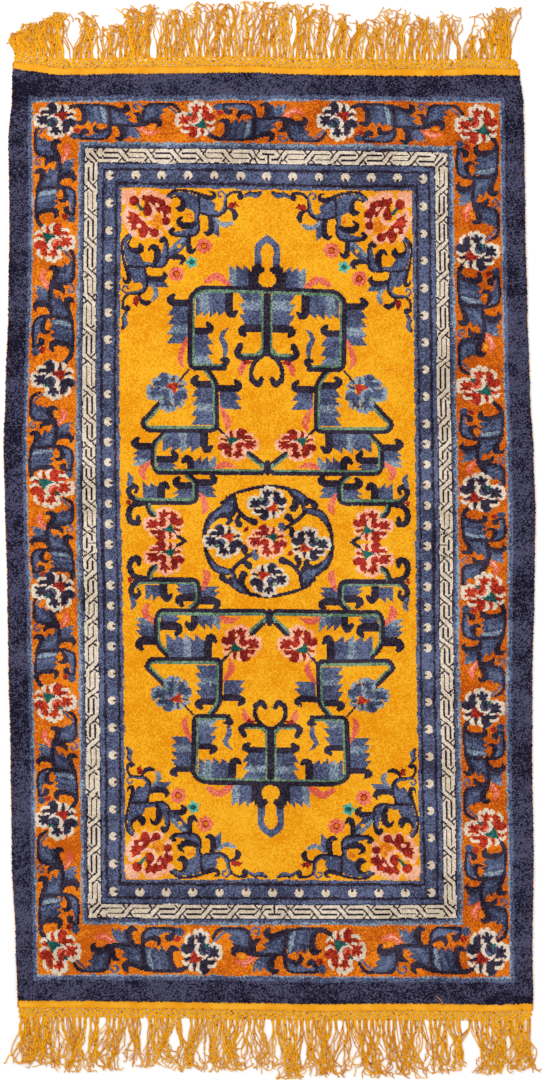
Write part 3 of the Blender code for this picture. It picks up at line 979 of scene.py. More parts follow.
# Side: middles of its flowers, the ways inwards and onwards along it, and how far on
# each scroll slipped, in knots
RUNS = {
    "left": (
        [(-212, 412), (-213, 290), (-211, 153), (-212, 45), (-212, -58), (-213, -169),
         (-213, -287), (-212, -413)],
        (1, 0),
        (0, -1),
        (-2.5, -4, 5, 2.5, -4.5, 0.5, 2.5),
    ),
    "bottom": (
        [(-212, -413), (-71, -412), (71, -411), (213, -412)],
        (0, 1),
        (1, 0),
        (3.5, 2, 4.5),
    ),
    "right": (
        [(213, -412), (213, -293), (211, -172), (212, -56), (211, 44), (211, 151), (211, 286),
         (212, 411)],
        (-1, 0),
        (0, 1),
        (1, 1.5, 3.5, -5, -7, 2.5, 2),
    ),
    "top": (
        [(212, 411), (71, 412), (-71, 413), (-212, 412)],
        (0, -1),
        (-1, 0),
        (3.5, 2.5, 6.5),
    ),
}
for flowers, inward, onward, slips in RUNS.values():
    inward, onward = np.array(inward), np.array(onward)
    for number, (start, end, slip) in enumerate(zip(flowers, flowers[1:], slips)):
        run = abs((np.array(end) - start) @ onward)
        origin = onward * (start @ onward + slip) - BORDER_EDGE * inward
        across_way = inward
        if number % 2:
            origin = origin + inward * BORDER
            across_way = -inward
        stamp(scroll, *origin, across_way, onward * run / SCROLL_RUN)
for side, (flowers, inward, onward, slips) in RUNS.items():
    for number, (x, y) in enumerate(flowers[:-1]):
        # navy and rose by turns: the long sides start with navy, the ends with rose
        rose = (number % 2 == 1) == (side in ("left", "right"))
        turned = side == "right" or (side == "top" and rose) or (side == "bottom" and not rose)
        way = -1 if turned else 1
        stamp(rose_bloom if rose else navy_bloom, x, y, (-way if rose else way, 0), (0, way))

# Neighbouring blues run into each other, and all outlines are a little uneven, less
# so in the border's outer lines: silks that mingle, and a knot's chance to do so
CALM_RING = 86.0
CALM_SHARE = 0.15
blues = [SILK_NUMBER[name] for name in ("indigo", "blue", "pale blue")]
for soft, chance in [(blues, 0.3)] * 3 + [(list(SILK_NUMBER.values()), 0.035)]:
    chance = np.where(ring > CALM_RING, CALM_SHARE * chance, chance)
    step = rng.integers(-1, 2, (2, *knots.shape))
    row = np.clip(np.arange(len(along))[:, None] + step[0], 0, len(along) - 1)
    column = np.clip(np.arange(len(across))[None, :] + step[1], 0, len(across) - 1)
    near = knots[row, column]
    mingled = np.isin(knots, soft) & np.isin(near, soft) & (rng.random(knots.shape) < chance)
    knots[mingled] = near[mingled]

# The orange ground darkens to the right and upwards: more of its knots there are rust.
rust_share = np.clip(0.35 + knot_x / 330 + knot_y / 1500, 0.0, 0.85)
darker = rng.random(knots.shape) < rust_share
knots[(knots == SILK_NUMBER["amber"]) & darker] = SILK_NUMBER["rust"]

# One row of reddish silk that strayed into the golden ground
STRAY_ROW = 166
STRAY_FROM, STRAY_TO = 110, 143
stray_row = (knot_y == STRAY_ROW) & (knot_x > STRAY_FROM) & (knot_x < STRAY_TO)
knots[stray_row & (knots == SILK_NUMBER["gold"])] = SILK_NUMBER["dark orange"]

# Pearls, in knots: how far they lie past the field's edge, then down each side ten a
# step apart from either corner with closer ones between, and along each end eleven
PEARL_RING = 11.4
FIRST_PEARL = 357.0
PEARL_STEP = 27.2
CORNER_PEARLS = 10
MIDDLE_STEPS = 11
END_PEARL = 157.5
END_STEPS = 12
bead = pearl()
outer = FIRST_PEARL - PEARL_STEP * np.arange(CORNER_PEARLS)
inner = outer[-1] - 2.0 * outer[-1] * np.arange(1, MIDDLE_STEPS) / MIDDLE_STEPS
for y in (*outer, *inner, *-outer):
    stamp(bead, -(SIDE + PEARL_RING), y, (1, 0), (0, 1))
    stamp(bead, SIDE + PEARL_RING, y, (-1, 0), (0, 1))
for x in 2.0 * END_PEARL * np.arange(1, END_STEPS) / END_STEPS - END_PEARL:
    stamp(bead, x, END + PEARL_RING + 1, (0, -1), (1, 0))
    stamp(bead, x, -(END + PEARL_RING + 1), (0, 1), (1, 0))

# Fret: how far it lies past the field's edge, and where one repeat ends and the next
# begins, as the weaver counted them, down the upper and the lower half of both sides
# and out from the middle of the ends
FRET_RING = 30.8
UPPER_REPEATS = [374, 346, 318, 290, 260, 234, 203, 174, 142, 114, 90, 71, 51, 28, 3]
LOWER_REPEATS = [-372, -344, -316, -288, -260, -236, -209, -185, -159, -133, -107,
                 -86, -64, -41, -21]
END_REPEATS = [171, 145, 119, 93, 67, 41, 14]
# How far a repeat slips out of line, and the middles of the ends and of the sides
FRET_SLIP = 0.5
END_MIDDLE = 1.7
SIDE_MIDDLE = -9
for places in (UPPER_REPEATS, LOWER_REPEATS, END_REPEATS):
    for start, end in zip(places, places[1:]):
        unit = fret_unit(abs(start - end))
        middle = (start + end) / 2
        for way in (1, -1):
            away = FRET_RING + rng.normal(0.0, FRET_SLIP)
            if places is END_REPEATS:
                stamp(unit, END_MIDDLE - middle, way * (END + away), (0, -way), (1, 0))
                stamp(unit, END_MIDDLE + middle, way * (END + away), (0, -way), (-1, 0))
            else:
                stamp(unit, -way * (SIDE + away), middle, (way, 0), (0, -np.sign(middle)))
corner_turn = fret_corner()
middle_turn = fret_middle()
fret_edge = FRET_RING + FRET_WIDTH / 2
for way in (1, -1):
    for up in (1, -1):
        stamp(corner_turn, -way * (SIDE + fret_edge), up * (END + fret_edge), (way, 0), (0, -up))
    stamp(middle_turn, END_MIDDLE, way * (END + FRET_RING), (0.98, 0), (0, way))
    stamp(middle_turn, way * (SIDE + FRET_RING), SIDE_MIDDLE, (0, 0.85), (way, 0))

# Lines along the rug, in millimetres: height, left edge of the border, its left
# inner edge, left and right edge of the field, right inner edge, right edge
LONG_LINES = [
    (-802, -402.5, -325.4, -250.9, 263.8, 337.0, 418.0),
    (-677, -404.5, -326.2, -251.4, 263.4, 336.7, 417.5),
    (-538, -407.0, -327.9, -252.0, 261.6, 335.3, 415.4),
    (-398, -408.1, -329.8, -252.0, 258.8, 333.6, 412.7),
    (-259, -411.6, -332.2, -253.2, 256.2, 331.7, 412.4),
    (-120, -414.4, -333.9, -254.9, 254.7, 330.4, 414.6),
    (19, -420.2, -336.6, -258.7, 254.8, 329.8, 415.2),
    (158, -422.2, -337.2, -261.0, 254.0, 327.2, 412.2),
    (297, -419.1, -336.7, -261.9, 252.4, 324.4, 407.4),
    (437, -413.2, -335.1, -260.2, 250.2, 323.0, 405.3),
    (576, -410.9, -333.1, -258.6, 248.8, 320.9, 402.4),
    (715, -412.2, -331.6, -258.2, 248.4, 319.6, 401.0),
    (814, -412.2, -331.4, -258.2, 248.4, 319.4, 399.0),
]

# Lines across the rug, in millimetres: share of the width, then the same six lines
# from the lower edge of the border to its upper edge, with the middle row between
CROSS_LINES = [
    (0.0, -755.2, -666.0, -586.5, 2.6, 616.0, 696.2, 763.4),
    (0.35, -755.3, -668.6, -588.7, 0.6, 613.2, 693.8, 765.9),
    (0.65, -758.0, -668.9, -590.4, -1.0, 609.6, 690.4, 765.8),
    (1.0, -758.8, -666.2, -590.4, -2.6, 606.8, 684.6, 761.6),
]

# Where the knots strayed from the drawing, in millimetres: middle of the place,
# its reach, and how far the figures there lie to the right and up
STRAYS = [
    (150, 500, 130, 4.6, -5.4),
    (-130, -500, 130, -6.2, 2.4),
    (190, -500, 100, 4.4, 0.0),
    (110, -210, 90, -3.6, -2.4),
    (110, 200, 80, -3.4, 0.0),
    (-95, -140, 70, 2.6, -1.0),
    (180, -60, 70, 0.0, -2.0),
]

# The border's outer and inner ring, in knots past the field's edge, and the knots
# inside that edge over which the straying grows
BORDER_RING = 87.5
INNER_RING = 44.0
STRAY_KNOTS = 14.0

# Top of the pile and how far it leans out over the cords, how far a knot slips and a
# tuft drops, above which height, the rounding of the rim, and how far the outermost
# tufts stand out or in, over how many knots
PILE_TOP = 7.0 * MM
PILE_OVERHANG = 2.4 * MM
KNOT_SLIP = 0.22 * KNOT
TUFT_DROP = 0.6 * MM
FLAT_PILE = 5.0 * MM
RIM_ROUND = 5.0 * MM
EDGE_TUFTS = 1.3 * MM
EDGE_KNOTS = 3
BANDS = 5


def between(stops, values, place):
    """Straight between stops whose values may differ from point to point."""
    found = values[0]
    for stop, next_stop, value, next_value in zip(stops, stops[1:], values, values[1:]):
        share = np.clip((place - stop) / (next_stop - stop), 0.0, 1.0)
        found = np.where(place > stop, value + (next_value - value) * share, found)
    return found


def lay(column, row):
    """Where a point of the drawing, in knots from its middle, lies on the floor."""
    across = column / (2 * (SIDE + MARGIN)) + 0.5
    low, high = end_y(-1, across), end_y(1, across)
    lines = [read_table(CROSS_LINES, across, number) * MM for number in range(1, 8)]
    rings = np.array([MARGIN, BORDER_RING, INNER_RING, 0.0])
    stops = (*(-END - rings), MIDDLE_ROW, *(END + rings[::-1]))
    y = between(stops, (low, *lines, high), row)
    along = (y - low) / (high - low)
    tuck = 2.0 * CORD_RADIUS + GAP - PILE_OVERHANG
    lines = [read_table(LONG_LINES, y / MM, number) * MM for number in range(1, 7)]
    stops = (*(-SIDE - rings), *(SIDE + rings[::-1]))
    x = between(stops, (side_x(-1, along) + tuck, *lines, side_x(1, along) - tuck), column)
    ring = np.maximum(np.abs(column) - SIDE, np.abs(row) - END)
    freedom = np.clip(-ring / STRAY_KNOTS, 0.0, 1.0)
    shift_x, shift_y = np.zeros(np.shape(x)), np.zeros(np.shape(y))
    for middle_x, middle_y, reach, right, up in STRAYS:
        near = np.exp(-((x / MM - middle_x) ** 2 + (y / MM - middle_y) ** 2) / reach**2)
        shift_x += right * MM * near * freedom
        shift_y += up * MM * near * freedom
    return x + shift_x, y + shift_y


# Painted light and shade in the pile, with each tuft's own tone: tufts to the metre and
# their weight, then for grains, streaks, mottle and patches, the patches partly painted
# sheen where the pile leans, how many lie in a metre across and along, and their weight.
# The sum is cut off at both ends of a range and raised to a power, so that dark is common
# and light is scarce.
TUFTS_PER_METRE = 500.0
TUFT_WEIGHT = 2.5
PILE_LAYERS = [
    (330.0, 430.0, 1.0),
    (60.0, 200.0, 0.5),
    (35.0, 50.0, 1.8),
    (8.0, 12.0, 3.3),
]
LIGHT_RANGE = (0.05, 0.87)
LIGHT_POWER = 1.45


def knotted_silk():
    """Cut silk pile. Every tuft takes its own share between the silk's deep, shaded tone and its
    bright, lit tone, partly its own tone and partly painted light and shade. It lies in rows a
    little streaked from side to side, and larger patches are painted darker or lighter, as the
    sheen changes where the pile leans. The tones are mixed as square roots, which keeps the
    darkest silks from blotching."""
    material, tree, surface, place = new_silk("knotted silk pile", 0.65, 0.03)
    deep_and_shaded = add_node(tree, "Attribute", attribute_name="deep_and_shaded").outputs["Color"]
    bright_and_lit = add_node(tree, "Attribute", attribute_name="bright_and_lit").outputs["Color"]
    packed = add_node(tree, "Mapping", [("Vector", place), ("Scale", (1.0, 1.15, 1.0))])
    inputs = [("Vector", packed.outputs[0]), ("Scale", TUFTS_PER_METRE)]
    tufts = add_node(tree, "TexVoronoi", inputs, voronoi_dimensions="2D")
    layers = [(tufts.outputs["Color"], TUFT_WEIGHT)]
    for across, along, weight in PILE_LAYERS:
        layers.append((noise(tree, place, 1.0, 2.0, (across, along, 1.0)), weight))
    light = 0.5 - 0.5 * sum(weight for layer, weight in layers)
    for layer, weight in layers:
        inputs = [(0, layer), (1, weight), (2, light)]
        light = add_node(tree, "Math", inputs, operation="MULTIPLY_ADD").outputs[0]
    light = to_range(tree, light, *LIGHT_RANGE, 0.0, 1.0)
    inputs = [(0, light), (1, LIGHT_POWER)]
    light = add_node(tree, "Math", inputs, operation="POWER").outputs[0]
    # Each tuft's painted light and shade: its share between the shaded and the lit tone
    root = mix_colours(tree, light, deep_and_shaded, bright_and_lit)
    yarn = mix_colours(tree, 1.0, root, root, "MULTIPLY")
    tree.links.new(yarn, surface.inputs["Base Color"])
    height = to_range(tree, tufts.outputs["Distance"], 0.0, 0.7, 1.0, 0.0)
    add_bump(tree, surface, height, 0.6, 1.0 * MM)
    return material


pile_silk = knotted_silk()
rng = np.random.default_rng(12)
column_lines = np.arange(knots.shape[1] + 1) - SIDE - MARGIN
row_lines = np.arange(knots.shape[0] + 1) - END - MARGIN
grid_column, grid_row = np.meshgrid(column_lines, row_lines)
grid_x, grid_y = lay(grid_column, grid_row)
side_knots = SIDE + MARGIN - np.abs(grid_column)
end_knots = END + MARGIN - np.abs(grid_row)
from_edge = np.minimum(side_knots, end_knots) * KNOT
short = 1.0 - np.minimum(from_edge / RIM_ROUND, 1.0)
grid_z = WEB_THICKNESS + (PILE_TOP - WEB_THICKNESS) * np.sqrt(1.0 - short**2)
grid_x = grid_x + rng.uniform(-1.0, 1.0, grid_x.shape) * KNOT_SLIP
grid_y = grid_y + rng.uniform(-1.0, 1.0, grid_y.shape) * KNOT_SLIP
grid_z = grid_z - rng.uniform(0.0, TUFT_DROP, grid_z.shape) * (grid_z > FLAT_PILE)
edge_share = np.clip(1.0 - from_edge / (EDGE_KNOTS * KNOT), 0.0, 1.0)
edge_tufts = rng.uniform(-1.0, 1.0, grid_x.shape) * EDGE_TUFTS * edge_share
grid_x = grid_x + edge_tufts * (side_knots < EDGE_KNOTS)
grid_y = grid_y + edge_tufts * (end_knots < EDGE_KNOTS)

# Square roots of each silk's deep, shaded tone and its bright, lit tone, and the pile in
# bands of rows. Four squares of one silk become one face.
tones = {}
for tone, name in enumerate(("deep_and_shaded", "bright_and_lit")):
    tones[name] = np.sqrt([linear(*silk[tone]) for silk in SILKS.values()]).astype(np.float32)
cuts = np.linspace(0, knots.shape[0], BANDS + 1).round().astype(int)
for number, (first, last) in enumerate(zip(cuts, cuts[1:])):
    numbers = knots[first:last]
    rows, columns = numbers.shape
    mesh = bmesh.new()
    bmesh.ops.create_grid(mesh, x_segments=columns, y_segments=rows, size=0.5)
    lines = slice(first, last + 1)
    places = np.stack([grid_x[lines], grid_y[lines], grid_z[lines]], axis=-1).reshape(-1, 3)
    for point, place in zip(mesh.verts, places):
        point.co = place
    silk_layer = mesh.faces.layers.int.new("silk")
    for face, silk_number in zip(mesh.faces, numbers.ravel().tolist()):
        face[silk_layer] = silk_number
    mesh.verts.ensure_lookup_table()
    blocks = numbers[: rows // 2 * 2, : columns // 2 * 2].reshape(rows // 2, 2, columns // 2, 2)
    plain_row, plain_column = np.nonzero(blocks.min((1, 3)) == blocks.max((1, 3)))
    centres = (plain_row * 2 + 1) * (columns + 1) + plain_column * 2 + 1
    bmesh.ops.dissolve_verts(mesh, verts=[mesh.verts[centre] for centre in centres])
    spare = [point for point in mesh.verts if len(point.link_edges) == 2 and not point.is_boundary]
    bmesh.ops.dissolve_verts(mesh, verts=spare)
    band = new_piece(f"pile_band_{number + 1}", mesh, pile_silk)
    silk_numbers = np.zeros(len(band.data.polygons), np.int32)
    band.data.attributes["silk"].data.foreach_get("value", silk_numbers)
    for name, colours in tones.items():
        dye = band.data.attributes.new(name, "FLOAT_COLOR", "FACE")
        dye.data.foreach_set("color", colours[silk_numbers - 1].ravel())
    band.data.attributes.remove(band.data.attributes["silk"])

# Side cords
# The outermost warps of each long side are wound round with golden silk into a
# firm cord, from web to web. The pile leans over it and leaves only its rim bare.
WRAP_PITCH = 1.6 * MM
WRAP_DIP = 0.84


def tubes(name, paths, radii, radius):
    """Mesh of one closed four-sided tube along each path, whose points are (x, y, z)."""
    curve = bpy.data.curves.new(name, "CURVE")
    curve.dimensions = "3D"
    curve.bevel_depth = radius
    curve.bevel_resolution = 0
    curve.use_fill_caps = True
    for path, thicknesses in zip(paths, radii):
        line = curve.splines.new("POLY")
        line.points.add(len(path) - 1)
        line.points.foreach_set("co", np.column_stack([path, np.ones(len(path))]).ravel())
        line.points.foreach_set("radius", thicknesses)
    carrier = bpy.data.objects.new(name, curve)
    bpy.context.scene.collection.objects.link(carrier)
    evaluated = carrier.evaluated_get(bpy.context.evaluated_depsgraph_get())
    data = bpy.data.meshes.new_from_object(evaluated)
    bpy.data.objects.remove(carrier)
    bpy.data.curves.remove(curve)
    data.name = name
    return data


def wound_gold():
    """Golden silk thread, each winding with its own shade."""
    material, tree, surface, place = new_silk("wound gold silk", 0.45, 0.25)
    shades = noise(tree, place, 1.0, 2.0, (200.0, 620.0, 200.0))
    shades = to_range(tree, shades, 0.3, 0.7, 0.0, 1.0)
    colour = mix_colours(tree, shades, linear(190, 112, 20), linear(250, 178, 60))
    tree.links.new(colour, surface.inputs["Base Color"])
    add_bump(tree, surface, noise(tree, place, 2400.0, 1.0), 0.3, 0.2 * MM)
    return material


winding = wound_gold()
for name, side in (("left", -1), ("right", 1)):
    edge = 0.0 if side < 0 else 1.0
    low = end_y(-1, edge)
    high = end_y(1, edge)
    y = np.arange(low - WEB_DEPTH, high + WEB_DEPTH, WRAP_PITCH / 2.0)
    x = side_x(side, (y - low) / (high - low)) - side * CORD_RADIUS
    path = np.stack([x, y, np.full(len(y), CORD_RADIUS)], axis=1)
    radii = np.where(np.arange(len(y)) % 2, 1.0, WRAP_DIP)
    data = tubes("side_cord_" + name + "_wound", [path], [radii], CORD_RADIUS)
    cord = add_piece(data.name, data, winding)
    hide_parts("side_cord_" + name)

# Fringes
# The silk warps run on past each web. Four rows of knots tie neighbours together
# into a net heading, from which they hang loose as fine golden yarns that draw
# together in locks, cross and curl towards their tips.
BUNCHES = 88
NET_YARNS = 4
NET_RADIUS = 0.95 * MM
NET_KNOTS = (3.0 * MM, 7.4 * MM, 11.8 * MM, 16.2 * MM)
NET_EDGE = 0.2 / BUNCHES
ROOT_TUCK = 1.5 * MM
LOOSE_YARNS = 490
YARN_RADIUS = 0.98 * MM
YARN_POINTS = 26
YARN_LIFT = 2.0 * MM
STITCHES = 56
STITCH_DYE = 0.15

# Share of the width from the left: reach past the heading and lean of the tips to
# the right, in millimetres, then how far the tips curl, in radians
UPPER_YARNS = [
    (0.000, 24.0, -8.0, 5.6),
    (0.030, 40.0, -18.0, 5.0),
    (0.060, 60.0, -14.0, 4.4),
    (0.085, 80.0, -4.0, 3.8),
    (0.100, 84.0, -8.0, 1.6),
    (0.120, 80.0, 8.0, 1.2),
    (0.150, 86.0, 4.0, 1.2),
    (0.170, 64.0, -4.0, 2.6),
    (0.210, 58.0, 12.0, 3.0),
    (0.240, 90.0, 2.0, 1.6),
    (0.330, 93.0, 2.0, 1.0),
    (0.450, 96.0, 3.0, 1.0),
    (0.610, 98.0, 4.0, 1.0),
    (0.640, 84.0, 6.0, 1.8),
    (0.675, 66.0, 10.0, 2.6),
    (0.700, 60.0, 6.0, 2.6),
    (0.725, 84.0, -6.0, 1.8),
    (0.745, 92.0, -4.0, 1.2),
    (0.770, 80.0, 0.0, 1.6),
    (0.790, 66.0, 2.0, 2.2),
    (0.820, 82.0, 0.0, 1.2),
    (0.870, 88.0, 0.0, 1.0),
    (0.888, 86.0, 0.0, 0.9),
    (0.896, 40.0, 4.0, 3.8),
    (0.937, 40.0, -4.0, 3.8),
    (0.945, 88.0, -3.0, 0.9),
    (1.000, 93.0, -5.0, 0.9),
]
LOWER_YARNS = [
    (0.00, 83.0, -2.0, 1.2),
    (0.04, 90.0, -2.0, 1.2),
    (0.12, 94.0, 0.0, 1.0),
    (0.30, 93.0, 0.0, 1.0),
    (0.42, 94.0, 2.0, 1.0),
    (0.52, 106.0, 4.0, 1.0),
    (0.60, 98.0, 2.0, 1.0),
    (0.75, 100.0, 6.0, 1.0),
    (0.83, 93.0, 8.0, 1.0),
    (0.90, 97.0, 8.0, 1.0),
    (0.95, 88.0, 4.0, 1.0),
    (1.00, 98.0, 3.0, 1.2),
]
# Where more yarns stand: from and to, as shares of the width, and their number
UPPER_MORE = [(0.0, 0.095, 110), (0.225, 0.255, 14), (0.945, 0.982, 26)]
LOWER_MORE = [(0.0, 0.06, 24), (0.93, 0.985, 14)]
# Places where no yarn is left, as shares of the width
UPPER_GAPS = [(0.100, 0.110), (0.158, 0.166), (0.272, 0.282), (0.864, 0.874), (0.984, 1.0)]
LOWER_GAPS = [
    (0.160, 0.170),
    (0.235, 0.250),
    (0.320, 0.333),
    (0.480, 0.486),
    (0.620, 0.630),
    (0.790, 0.800),
    (0.860, 0.875),
]
# How loose yarns hang: yarns to a lock, how far its tip leans, how far its yarns
# splay past its waist, how far and how often they sway, and how much they kink
UPPER_STYLE = {
    "sizes": (6, 9, 12, 15),
    "lean": 2.6 * MM,
    "splay": 2.8 * MM,
    "sway": 1.2 * MM,
    "beats": 2.2,
    "kink": 0.4,
}
LOWER_STYLE = {
    "sizes": (6, 9, 12, 16),
    "lean": 8.0 * MM,
    "splay": 3.2 * MM,
    "sway": 4.0 * MM,
    "beats": 3.0,
    "kink": 0.42,
}
# Shares of a yarn's length at which it starts to bend, reaches its lock's waist and
# starts to curl, how far it bends to its lock, and how much of a kink it keeps
BEND_START = 0.15
WAIST = (0.55, 0.85)
CURL_START = 0.7
GATHER = 0.86
STIFFNESS = 0.72
# Lengths within a lock, as shares of the longest, and how far a yarn is pulled to
# the knot it hangs from
LOCK_REACH = (0.92, 1.05)
SHORTENED = 0.3
KNOT_PULL = 0.72
# Thickness from yarn to yarn, and from root to tip
THICKNESS = (0.72, 1.12)
TAPER = (1.05, 0.92)


def yarn_gold():
    """Golden silk yarn, each with its own dye, streaked along its fibres with the streaks deepened
    by painted shade, and here and there darkened by spots of painted shadow, such as yarns cast on
    each other.
    """
    material, tree, surface, place = new_silk("golden silk yarn", 0.45, 0.08)
    dye = add_node(tree, "Attribute", attribute_name="dye").outputs["Fac"]
    colour = mix_colours(tree, dye, linear(196, 95, 0), linear(255, 190, 32))
    # Spots of painted shadow, dark where yarns would shade each other
    painted_shadow_spots = to_range(tree, noise(tree, place, 240.0, 2.0), 0.6, 0.67, 0.0, 0.85)
    colour = mix_colours(tree, painted_shadow_spots, colour, linear(150, 60, 6))
    # Streaks of the fibres, their dark side deepened as painted shade
    fibres_and_painted_shade = noise(tree, place, 1.0, 2.0, (1600.0, 240.0, 800.0))
    fibres_and_painted_shade = to_range(tree, fibres_and_painted_shade, 0.3, 0.7, 0.82, 1.08)
    shaded = mix_colours(tree, 1.0, colour, fibres_and_painted_shade, "MULTIPLY")
    tree.links.new(shaded, surface.inputs["Base Color"])
    add_bump(tree, surface, fibres_and_painted_shade, 0.3, 0.2 * MM)
    return material


def net_yarns(end, width, rng):
    """Courses of the heading's yarns, from web to last row of knots. From one row to
    the next each cord of yarns goes half a bunch to the left or the right."""
    along = 0.0 if end < 0 else 1.0
    cord, yarn = np.divmod(np.arange(BUNCHES * 2 * NET_YARNS), NET_YARNS)
    bunch, half = np.divmod(cord, 2)
    root = (bunch + 0.5 * half + 0.5 * (yarn + 0.5) / NET_YARNS) / BUNCHES
    knot = (bunch + 0.5) / BUNCHES
    stations, depths = [root, knot], [-ROOT_TUCK, NET_KNOTS[0]]
    turns = [half == 1, cord % 4 < 2, cord % 3 < 1]
    for turn, depth in zip(turns, NET_KNOTS[1:]):
        next_knot = knot + np.where(turn, 0.5, -0.5) / BUNCHES
        next_knot = np.clip(next_knot, NET_EDGE, 1.0 - NET_EDGE)
        stations += [(knot + next_knot) / 2, next_knot]
        depths += [(depths[-1] + depth) / 2, depth]
        knot = next_knot
    stations, depths = np.stack(stations, axis=1), np.array(depths)
    lane = ((yarn + 0.5) / NET_YARNS - 0.5)[:, None]
    x = body_x(stations, along) + (lane + rng.normal(0.0, 0.07, stations.shape)) * width
    y = end_y(end, stations) + end * (WEB_DEPTH + depths)
    y = y + rng.normal(0.0, 0.2, stations.shape) * MM
    z = 1.35 * NET_RADIUS + rng.uniform(0.0, 1.0, stations.shape) * MM
    return np.stack([x, y, z], axis=2)


def stitch_yarn(end, points):
    """Courses of a dark thread that runs in and out along the outer edge of a web."""
    along = 0.0 if end < 0 else 1.0
    station = np.linspace(0.002, 0.998, STITCHES * (points - 1) + 1)
    place = np.arange(STITCHES)[:, None] * (points - 1) + np.arange(points)[None, :]
    station, odd = station[place], place % 2
    x = body_x(station, along)
    y = end_y(end, station) + end * (WEB_DEPTH + (0.4 + 0.5 * odd) * MM)
    return np.stack([x, y, (1.1 + 1.2 * odd) * MM], axis=2)


def locks_of(count, sizes, rng):
    """Number of the lock that each yarn joins, some neighbours to a lock."""
    lock = []
    while len(lock) < count:
        lock += [len(set(lock))] * int(rng.choice(sizes))
    return np.array(lock[:count])


def swung(share, beat, phase):
    """A swing that starts from nothing, of so many beats along the yarn."""
    return np.sin(2 * np.pi * (beat * share + phase)) - np.sin(2 * np.pi * phase)


def loose_yarns(end, table, roots, rng, sizes, lean, splay, sway, beats, kink):
    """Courses of all loose yarns, from the last row of knots to their tips."""
    along = 0.0 if end < 0 else 1.0
    roots = np.clip(np.sort(roots), 0.001, 0.999)
    lock = locks_of(len(roots), sizes, rng)
    middle = np.bincount(lock, roots) / np.bincount(lock)
    locks, yarns = (len(middle), 1), (len(roots), 1)
    tips = body_x(middle, along) + read_table(table, middle, 2) * MM
    tips = tips + rng.normal(0.0, lean, len(middle))

    # each yarn bends to the waist of its lock, splays past it and sways all along
    share = np.linspace(0.0, 1.0, YARN_POINTS)[None, :]
    start = body_x(roots, along)[:, None]
    waist = rng.uniform(*WAIST, locks)[lock]
    aim = (tips[lock][:, None] - start) * rng.normal(GATHER, 0.12, yarns)
    bent = np.clip((share - BEND_START) / (waist - BEND_START), 0.0, 1.0)
    x = start + aim * eased(bent)
    x = x + rng.normal(0.0, splay, yarns) * np.clip((share - waist) / (1.0 - waist), 0.0, 1.0)
    # a lock sways as one, and each yarn on its own
    for strength, most, count, number in [(1.0, 1.4, locks, lock),
                                          (0.7, beats, yarns, slice(None))]:
        beat = rng.uniform(0.5, most, count)[number]
        phase = rng.uniform(0.0, 1.0, count)[number]
        width = strength * sway * rng.uniform(0.2, 1.0, count)[number]
        x = x + width * share**0.7 * swung(share, beat, phase)

    # with kinks along its way, more and more, and curls at its end
    heading = np.zeros((len(roots), YARN_POINTS))
    for point in range(1, YARN_POINTS):
        bends = rng.normal(0.0, 1.0, len(roots)) * kink * (0.3 + 1.4 * share[0, point] ** 2)
        heading[:, point] = STIFFNESS * heading[:, point - 1] + bends
    curl = read_table(table, roots, 3)[:, None] * rng.normal(0.0, 1.0, yarns)
    heading = heading + curl * np.clip((share - CURL_START) / (1.0 - CURL_START), 0.0, 1.0) ** 1.4
    reach = read_table(table, roots, 1)[:, None] * MM * rng.uniform(*LOCK_REACH, locks)[lock]
    reach = reach * (1.0 - SHORTENED * rng.random(yarns) ** 2.5)
    steps = np.diff(share, prepend=0.0) * reach
    x = x + np.cumsum(steps * np.sin(heading), axis=1)
    forward = np.cumsum(steps * np.cos(heading), axis=1)
    forward = forward * reach / forward.max(axis=1, keepdims=True)
    y = end_y(end, roots)[:, None] + end * (WEB_DEPTH + NET_KNOTS[-1] - ROOT_TUCK + forward)
    level = rng.uniform(0.0, 1.0, yarns) * YARN_LIFT * np.sin(np.pi * np.minimum(share, 0.5))
    return np.stack([x, y, 1.2 * YARN_RADIUS + level], axis=2)


def dyed_tubes(name, paths, radius, dye, rng):
    """A piece of many closed yarns, each of its own dye and a little thinner
    towards its tip."""
    thickness = rng.uniform(*THICKNESS, (len(paths), 1)) * np.linspace(*TAPER, paths.shape[1])
    data = tubes(name, paths, thickness, radius)

    # the ends of all tubes come first in the mesh, the last tube's before the others
    sides = 4 * (paths.shape[1] - 1)
    ends = len(data.polygons) // len(dye) - sides
    dye = np.concatenate([np.repeat(dye[::-1], ends), np.repeat(dye, sides)])
    shade = data.attributes.new("dye", "FLOAT", "FACE")
    shade.data.foreach_set("value", dye.astype(np.float32))
    return add_piece(name, data, golden_yarn)


